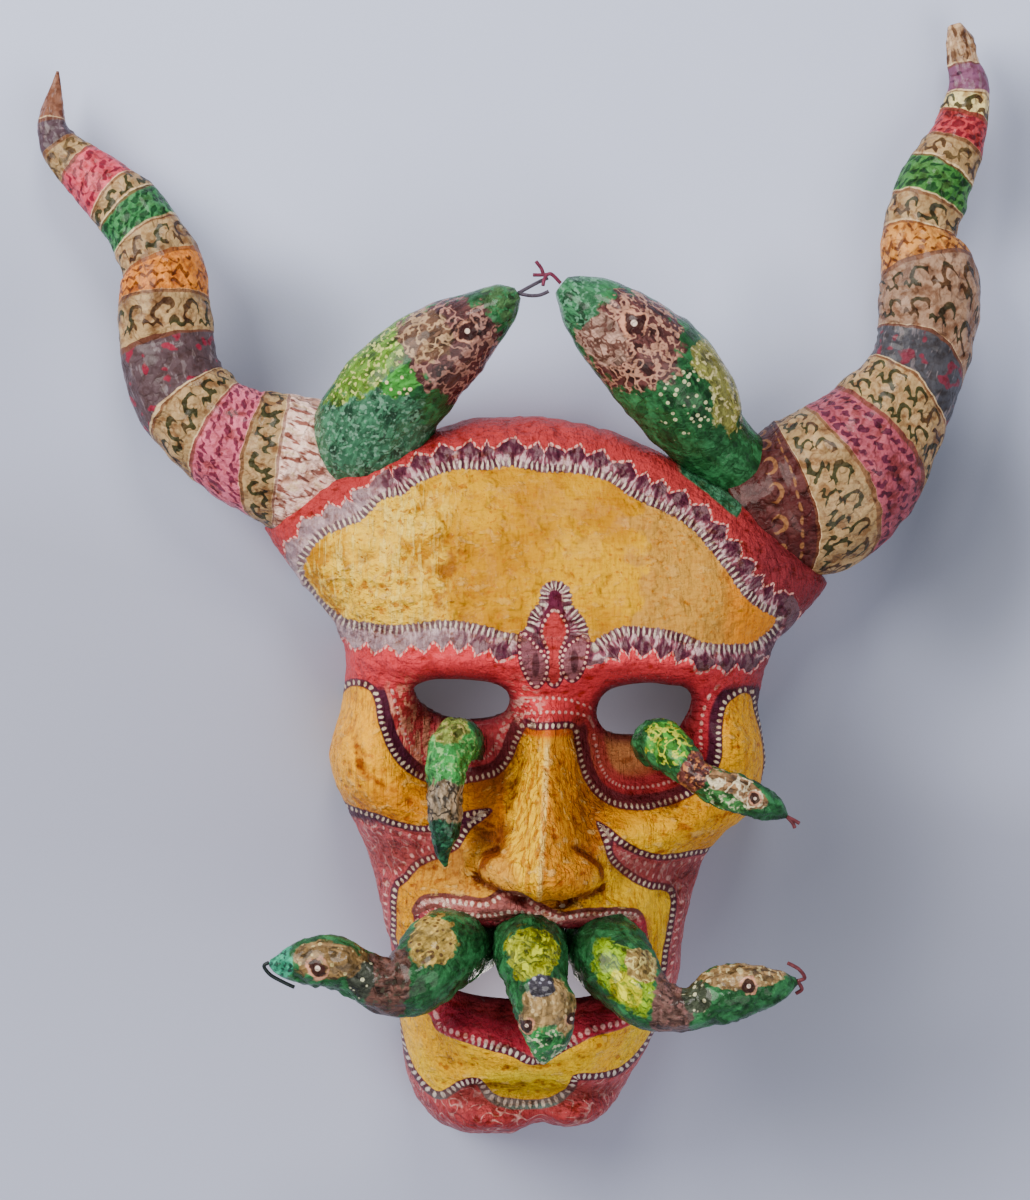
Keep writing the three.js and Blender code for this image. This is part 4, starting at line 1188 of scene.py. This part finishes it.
# A snake has its stations, the way that its patches face, the patches and the eyes. A patch holds its
# middle, half length, half width, turn in degrees, colour, the colour of its marks and their kind. An eye
# holds its middle and size.
SNAKES = {
    "left_crown": (
        [
            (-57, 43, 24, 17.5), (-52, 53.5, 34, 21.4), (-43.5, 66.5, 43, 19.7), (-32, 78, 50, 18),
            (-20.5, 87, 54, 15.2), (-10.5, 94, 57, 10.8), (-3, 99.6, 58, 7), (1.9, 102.6, 58, 2.2),
        ],
        (0, 0, 1),
        [
            (-52, 53, 22, 22, 40, (0.035, 0.125, 0.065), (0.14, 0.30, 0.20), "flecks"),
            (-47, 84, 26, 10, 47, (0.09, 0.20, 0.015), (0.55, 0.60, 0.16), "flecks"),
            (-38, 71, 9, 5, 30, (0.04, 0.22, 0.03), PALE, "dots"),
            (-20, 83, 17, 19, 40, (0.07, 0.024, 0.024), (0.42, 0.20, 0.155), "scales"),
            (-31, 87, 9, 10, 40, (0.12, 0.06, 0.035), (0.52, 0.33, 0.18), "scales"),
            (0, 101, 9, 12, 40, (0.05, 0.12, 0.04), LIT_GREEN, "flecks"),
        ],
        [(-15.8, 88.2, 0.9)],
    ),
    "right_crown": (
        [
            (87, 38, 26, 12.5), (80.5, 44, 32, 13.6), (71, 52.5, 38, 15), (64.5, 62, 44, 18.2),
            (56, 73, 50, 19.3), (45, 83.5, 55, 17.8), (34, 92.5, 58, 14.6), (24, 100.3, 60, 9.6),
            (17.6, 105.3, 60, 3.6),
        ],
        (0, 0, 1),
        [
            (73, 70, 17, 8, 110, (0.22, 0.22, 0.05), (0.74, 0.66, 0.30), "flecks"),
            (61, 63, 12, 10, 110, GREEN, (0.70, 0.72, 0.40), "dots"),
            (43, 85, 18, 17, -48, (0.085, 0.028, 0.026), (0.56, 0.28, 0.19), "scales"),
            (31, 86, 12, 7, -50, (0.36, 0.21, 0.16), (0.10, 0.035, 0.025), "scales"),
            (20, 101, 11, 13, -48, (0.03, 0.13, 0.055), (0.12, 0.30, 0.18), "flecks"),
        ],
        [(42.7, 90.6, 1.1)],
    ),
    "left_eye": (
        [
            (-17, -57, 58, 7), (-19.5, -56.5, 70, 8.4), (-22.4, -62, 81, 7.3), (-22.8, -71.5, 87, 6.2),
            (-23, -80, 89.5, 5.7), (-23.1, -86.5, 89.5, 5), (-24, -93, 88, 2.8), (-22.9, -98.4, 86.5, 0.7),
        ],
        (1, 0, 0),
        [
            (-22, -60, 13, 10, 90, (0.035, 0.24, 0.05), (0.24, 0.52, 0.16), "flecks"),
            (-22, -50.5, 7, 6, 0, (0.19, 0.25, 0.05), (0.50, 0.46, 0.14), "flecks"),
            (-23, -76.5, 8, 9, 90, (0.26, 0.19, 0.12), (0.02, 0.015, 0.01), "scales"),
            (-23.4, -90, 8, 9, 90, (0.010, 0.05, 0.025), (0.03, 0.16, 0.08), "flecks"),
        ],
        [],
    ),
    "right_eye": (
        [
            (50, -58, 58, 7.5), (52, -56.5, 69, 9), (57.3, -60.5, 80, 7.4), (63.5, -66.5, 85.5, 5.6),
            (72.5, -71.3, 88.5, 6.6), (82.8, -75.1, 88.5, 6), (90.5, -78.6, 87, 4.1), (94.8, -81.1, 86, 1),
        ],
        (0.49, 0.87, 0),
        [
            (54, -56, 8, 7, -40, (0.05, 0.24, 0.03), (0.62, 0.68, 0.05), "scales"),
            (63, -65.5, 5, 8, -30, BROWN, (0.55, 0.20, 0.07), "flecks"),
            (77, -71.5, 11, 5, -25, (0.24, 0.13, 0.06), (0.86, 0.74, 0.48), "scales"),
            (73, -75.5, 8, 3, -25, (0.05, 0.20, 0.05), (0.62, 0.66, 0.40), "flecks"),
        ],
        [(83.3, -74.5, 0.55)],
    ),
    "left_mouth": (
        [
            (-16, -127, 62, 12.6), (-19.5, -126.5, 76, 13.3), (-25, -128.5, 90, 13.8),
            (-33.5, -136, 97, 12), (-42.3, -138, 100, 10.2), (-51.8, -134, 101, 7.9),
            (-61.3, -129.7, 102, 8.9), (-71.2, -130, 101.5, 7.3), (-78.4, -130.5, 100.5, 4.4),
            (-82.5, -130.1, 100, 1.3),
        ],
        (0, 1, 0),
        [
            (-26.7, -122.5, 8, 8, 40, (0.40, 0.27, 0.06), (0.10, 0.05, 0.02), "dots"),
            (-42.5, -136.2, 8, 14, 0, (0.10, 0.045, 0.035), (0.07, 0.06, 0.04), "flecks"),
            (-51, -134.5, 4.5, 7, 0, (0.03, 0.035, 0.025), (0.72, 0.72, 0.48), "dots"),
            (-62.5, -128, 12, 6.5, 0, (0.20, 0.12, 0.045), (0.66, 0.52, 0.22), "dots"),
            (-80, -129, 6, 8, 0, (0.03, 0.30, 0.17), (0.015, 0.06, 0.04), "flecks"),
        ],
        [(-65.6, -130.7, 0.9)],
    ),
    "middle_mouth": (
        [
            (6.3, -127, 62, 12.8), (6.2, -126.5, 78, 13.2), (6.6, -129, 94, 12.4), (8.5, -136.2, 105, 10.4),
            (11.2, -144.5, 111, 10.2), (11.7, -152, 112, 8.4), (10.9, -158.5, 110.5, 4.7),
            (10.5, -162.7, 109, 1.2),
        ],
        (1, 0, 0),
        [
            (7, -126, 9, 8, 0, (0.34, 0.38, 0.01), (0.07, 0.10, 0.01), "waves"),
            (12.3, -144, 10, 9.5, 90, (0.30, 0.19, 0.075), (0.58, 0.42, 0.20), "dots"),
            (9.5, -135.5, 4.5, 3.5, 0, (0.05, 0.045, 0.06), (0.42, 0.42, 0.52), "dots"),
            (11, -157.5, 7, 9, 0, (0.03, 0.20, 0.05), (0.60, 0.66, 0.40), "flecks"),
        ],
        [(4.9, -148.8, 0.6), (20, -146.7, 0.6)],
    ),
    "right_mouth": (
        [
            (31, -127.5, 62, 12.8), (32.5, -127.5, 76, 13.4), (37, -133, 89, 13.3), (44, -141.5, 96, 10.8),
            (52.2, -145.6, 100, 8.4), (61.3, -145.3, 101.5, 7.3), (71.5, -141, 102, 9.4),
            (81.7, -138.5, 101.5, 8.4), (90.7, -137.6, 100.5, 5.4), (97, -136.3, 100, 1.3),
        ],
        (0, 1, 0),
        [
            (38.5, -135, 14, 8, -50, (0.20, 0.33, 0.005), (0.04, 0.12, 0.01), "waves"),
            (39, -138.5, 7, 4.5, -50, (0.52, 0.50, 0.005), (0.20, 0.28, 0.01), "waves"),
            (44, -131, 6, 5, -45, (0.30, 0.20, 0.06), (0.72, 0.60, 0.20), "scales"),
            (54, -146, 7, 14, 0, (0.12, 0.06, 0.05), (0.22, 0.10, 0.09), "flecks"),
            (62.4, -140.5, 5, 5.5, 0, (0.04, 0.05, 0.03), (0.72, 0.70, 0.45), "dots"),
            (80, -133.5, 16, 4, 4, (0.28, 0.17, 0.07), (0.70, 0.56, 0.28), "flecks"),
        ],
        [(79.9, -136.7, 0.7)],
    ),
}


def snake_paint(name, patches, eyes, creased):
    paint = Paint(name, coat=0.25)
    x, y, _ = paint.split(paint.place)
    across = paint.node("ShaderNodeUVMap", {"uv_map": "paint"}).outputs[0]
    warp = paint.noise(4, 2)
    strokes = paint.noise(2.2, 2, across, (0.4, 1, 1))
    shade = paint.noise(6, 3)
    cells = paint.node("ShaderNodeTexVoronoi", Vector=paint.place, Scale=0.36)
    marks = {
        "flecks": paint.noise(1.7, 1, stretch=(1, 1, 0.5)).above(0.09, 0.08),
        "scales": abs(paint.noise(5, 2)).below(0.037, 0.03),
        "dots": Wire(paint, cells.outputs["Distance"]).below(0.27, 0.08),
        "waves": (x * 0.5 + y + warp * 14).wave(3.6).above(0.45, 0.6) * paint.noise(3, 1).above(-0.06, 0.1),
    }
    # painted highlights and painted shade: lit and shaded greens in patches along the noise and the strokes
    colour = paint.coats(
        GREEN,
        ((shade + strokes * 0.6).above(0.06, 0.2), LIT_GREEN),
        ((shade - strokes * 0.5).below(-0.12, 0.1) * 0.8, (0.008, 0.03, 0.012)),
    )
    for cx, cy, long, short, turn, ground, ink, kind in patches:
        c, s = np.cos(np.radians(turn)), np.sin(np.radians(turn))
        a = ((x - cx) * c + (y - cy) * s) / long
        b = ((y - cy) * c - (x - cx) * s) / short
        patch = (paint.length(a, b) + warp * 0.9).below(1, 0.1)
        # each patch gets a shaded copy and a lit copy of its colour: painted shade and painted highlights
        dark = tuple(0.35 * part for part in ground)
        light = tuple(min(1.6 * part, 0.9) for part in ground)
        mixed = paint.coats(ground, (shade.below(-0.06, 0.08), dark), (strokes.above(0.05, 0.1), light))
        colour = paint.coats(colour, (patch, mixed), (marks[kind] * patch * 0.9, ink))
        if kind == "scales":
            colour = paint.blend(marks["dots"] * patch * shade.above(0.02, 0.1), colour, ink)
    for cx, cy, size in eyes:
        away = paint.length(x - cx, y - cy) / size
        ragged = away + warp * 5
        colour = paint.coats(
            colour,
            (ragged.inside(3.4, 4.6, 0.5) * shade.above(-0.05, 0.1), (0.70, 0.32, 0.20)),
            (ragged.below(3.4, 0.6) * 0.95, (0.035, 0.008, 0.008)),
            (away.below(1.05, 0.3), (0.86, 0.66, 0.54)),
        )
    # painted shade in the creases and folds
    crease = paint.noise(4, 4)
    folded = abs(paint.noise(6, 2)).below(0.02, 0.06)
    colour = paint.darkening_coats(
        colour,
        (crease.below(-0.08, 0.1) * creased * 0.22, (0.22, 0.2, 0.15)),
        (folded * creased * 0.15, (0.3, 0.28, 0.2)),
    )
    height = crease * creased + strokes * 0.9 - folded * 0.4
    return paint.finish(colour, paint.noise(2, 2) * 0.3 + 0.3, height, 0.9)


# The crown snakes are thick and smooth, the others thin and crumpled; the mouth's start behind its hole.
FIRST_SEED = 50
for seed, (name, (stations, side_to, patches, eyes)) in enumerate(SNAKES.items(), FIRST_SEED):
    crown, mouth = name.endswith("crown"), name.endswith("mouth")
    sides, rings = (72, 130) if crown else (48, 120)
    rough, creased, size = (0.5, 1.5, 9) if crown else (0.75, 2.8, 5)
    swept = sweep(stations, sides, rings, side_to=side_to, rough=rough, size=size, seed=seed, trim=not mouth)
    points, faces, paint = sweep_mesh(*swept, in_wall=not mouth)
    skin_paint = snake_paint(f"{name}_snake_paint", patches, eyes, creased)
    add_piece(f"{name}_snake", [skin_paint], points, faces, paint=paint)

# The tongues: thin painted wires, stuck in the snouts of five of the snakes, with one wire for each prong
# of a fork. A prong is given by its middle line.
TONGUES = {
    "left_crown": [
        [(1.9, 102.5, 58), (7, 105.3, 57.8), (10.2, 107, 57.5), (12.7, 108.1, 57.2)],
        [(2.2, 102.5, 58), (6.3, 101.7, 58.3), (9.9, 101.9, 58.6), (13, 103.2, 58.8)],
    ],
    "right_crown": [
        [(17.2, 105.9, 60.1), (13.8, 109.1, 60.8), (11.5, 108.6, 61), (10.2, 111.1, 62), (8.4, 113.3, 63)],
        [(12.3, 108.9, 61), (9.5, 108.7, 61.2), (7.4, 108.7, 61.6)],
        [(12, 108.7, 61), (11.2, 106.5, 61.5), (10.9, 104.9, 62)],
    ],
    "right_eye": [
        [(94.7, -81.1, 86), (97.6, -82.6, 86), (99.3, -83.6, 85.8)],
        [(95, -81.3, 86), (97, -83.5, 85.4), (97.8, -85.2, 84.8)],
    ],
    "left_mouth": [
        [
            (-82.9, -130, 100), (-84.6, -131.3, 99.6), (-82.6, -134.4, 98), (-78.5, -137, 96.5),
            (-74.6, -139, 95.5),
        ],
    ],
    "right_mouth": [
        [(97.2, -136.3, 100), (99.6, -135, 101.5), (97.4, -131.8, 103.5), (93.6, -129.6, 104.5)],
        [(97.4, -136.4, 100), (98.9, -139.2, 98.8), (97, -140.8, 98)],
    ],
}
INKS = {"left_crown": (0.09, 0.07, 0.10), "right_crown": (0.20, 0.03, 0.07), "left_mouth": (0.02, 0.03, 0.03)}
RED_INK = (0.18, 0.04, 0.05)
WIRE_HALF, WIRE_SIDES, WIRE_RINGS = 0.66, 12, 14  # the rings are for each station
for name, prongs in TONGUES.items():
    points, quads, ends, quad_paint, end_paint, count = [], [], [], [], [], 0
    for prong in prongs:
        stations = [(*place, WIRE_HALF) for place in prong]
        rings = WIRE_RINGS * len(prong)
        swept = sweep(stations, WIRE_SIDES, rings, side_to=(0.3, 0.2, 1), rough=0.12, size=2, trim=False)
        made, (sides, root, tip), paint = sweep_mesh(*swept, cap_rings=2, in_wall=False)
        points.append(made)
        quads.append(sides + count)
        ends += [root + count, tip + count]
        quad_paint.append(paint[: sides.size])
        end_paint.append(paint[sides.size :])
        count += len(made)
    wire = Paint(f"{name}_wire_paint", coat=0.2)
    ink = INKS.get(name, RED_INK)
    shade = wire.blend(wire.noise(1.5, 2).above(0, 0.3), ink, tuple(0.6 * part for part in ink))
    wire_paint = wire.finish(shade, 0.5, wire.noise(0.6, 2), 0.3)
    faces = [np.concatenate(quads), np.concatenate(ends)]
    paint = np.concatenate(quad_paint + end_paint)
    add_piece(f"{name}_tongue", [wire_paint], np.concatenate(points), faces, paint=paint)
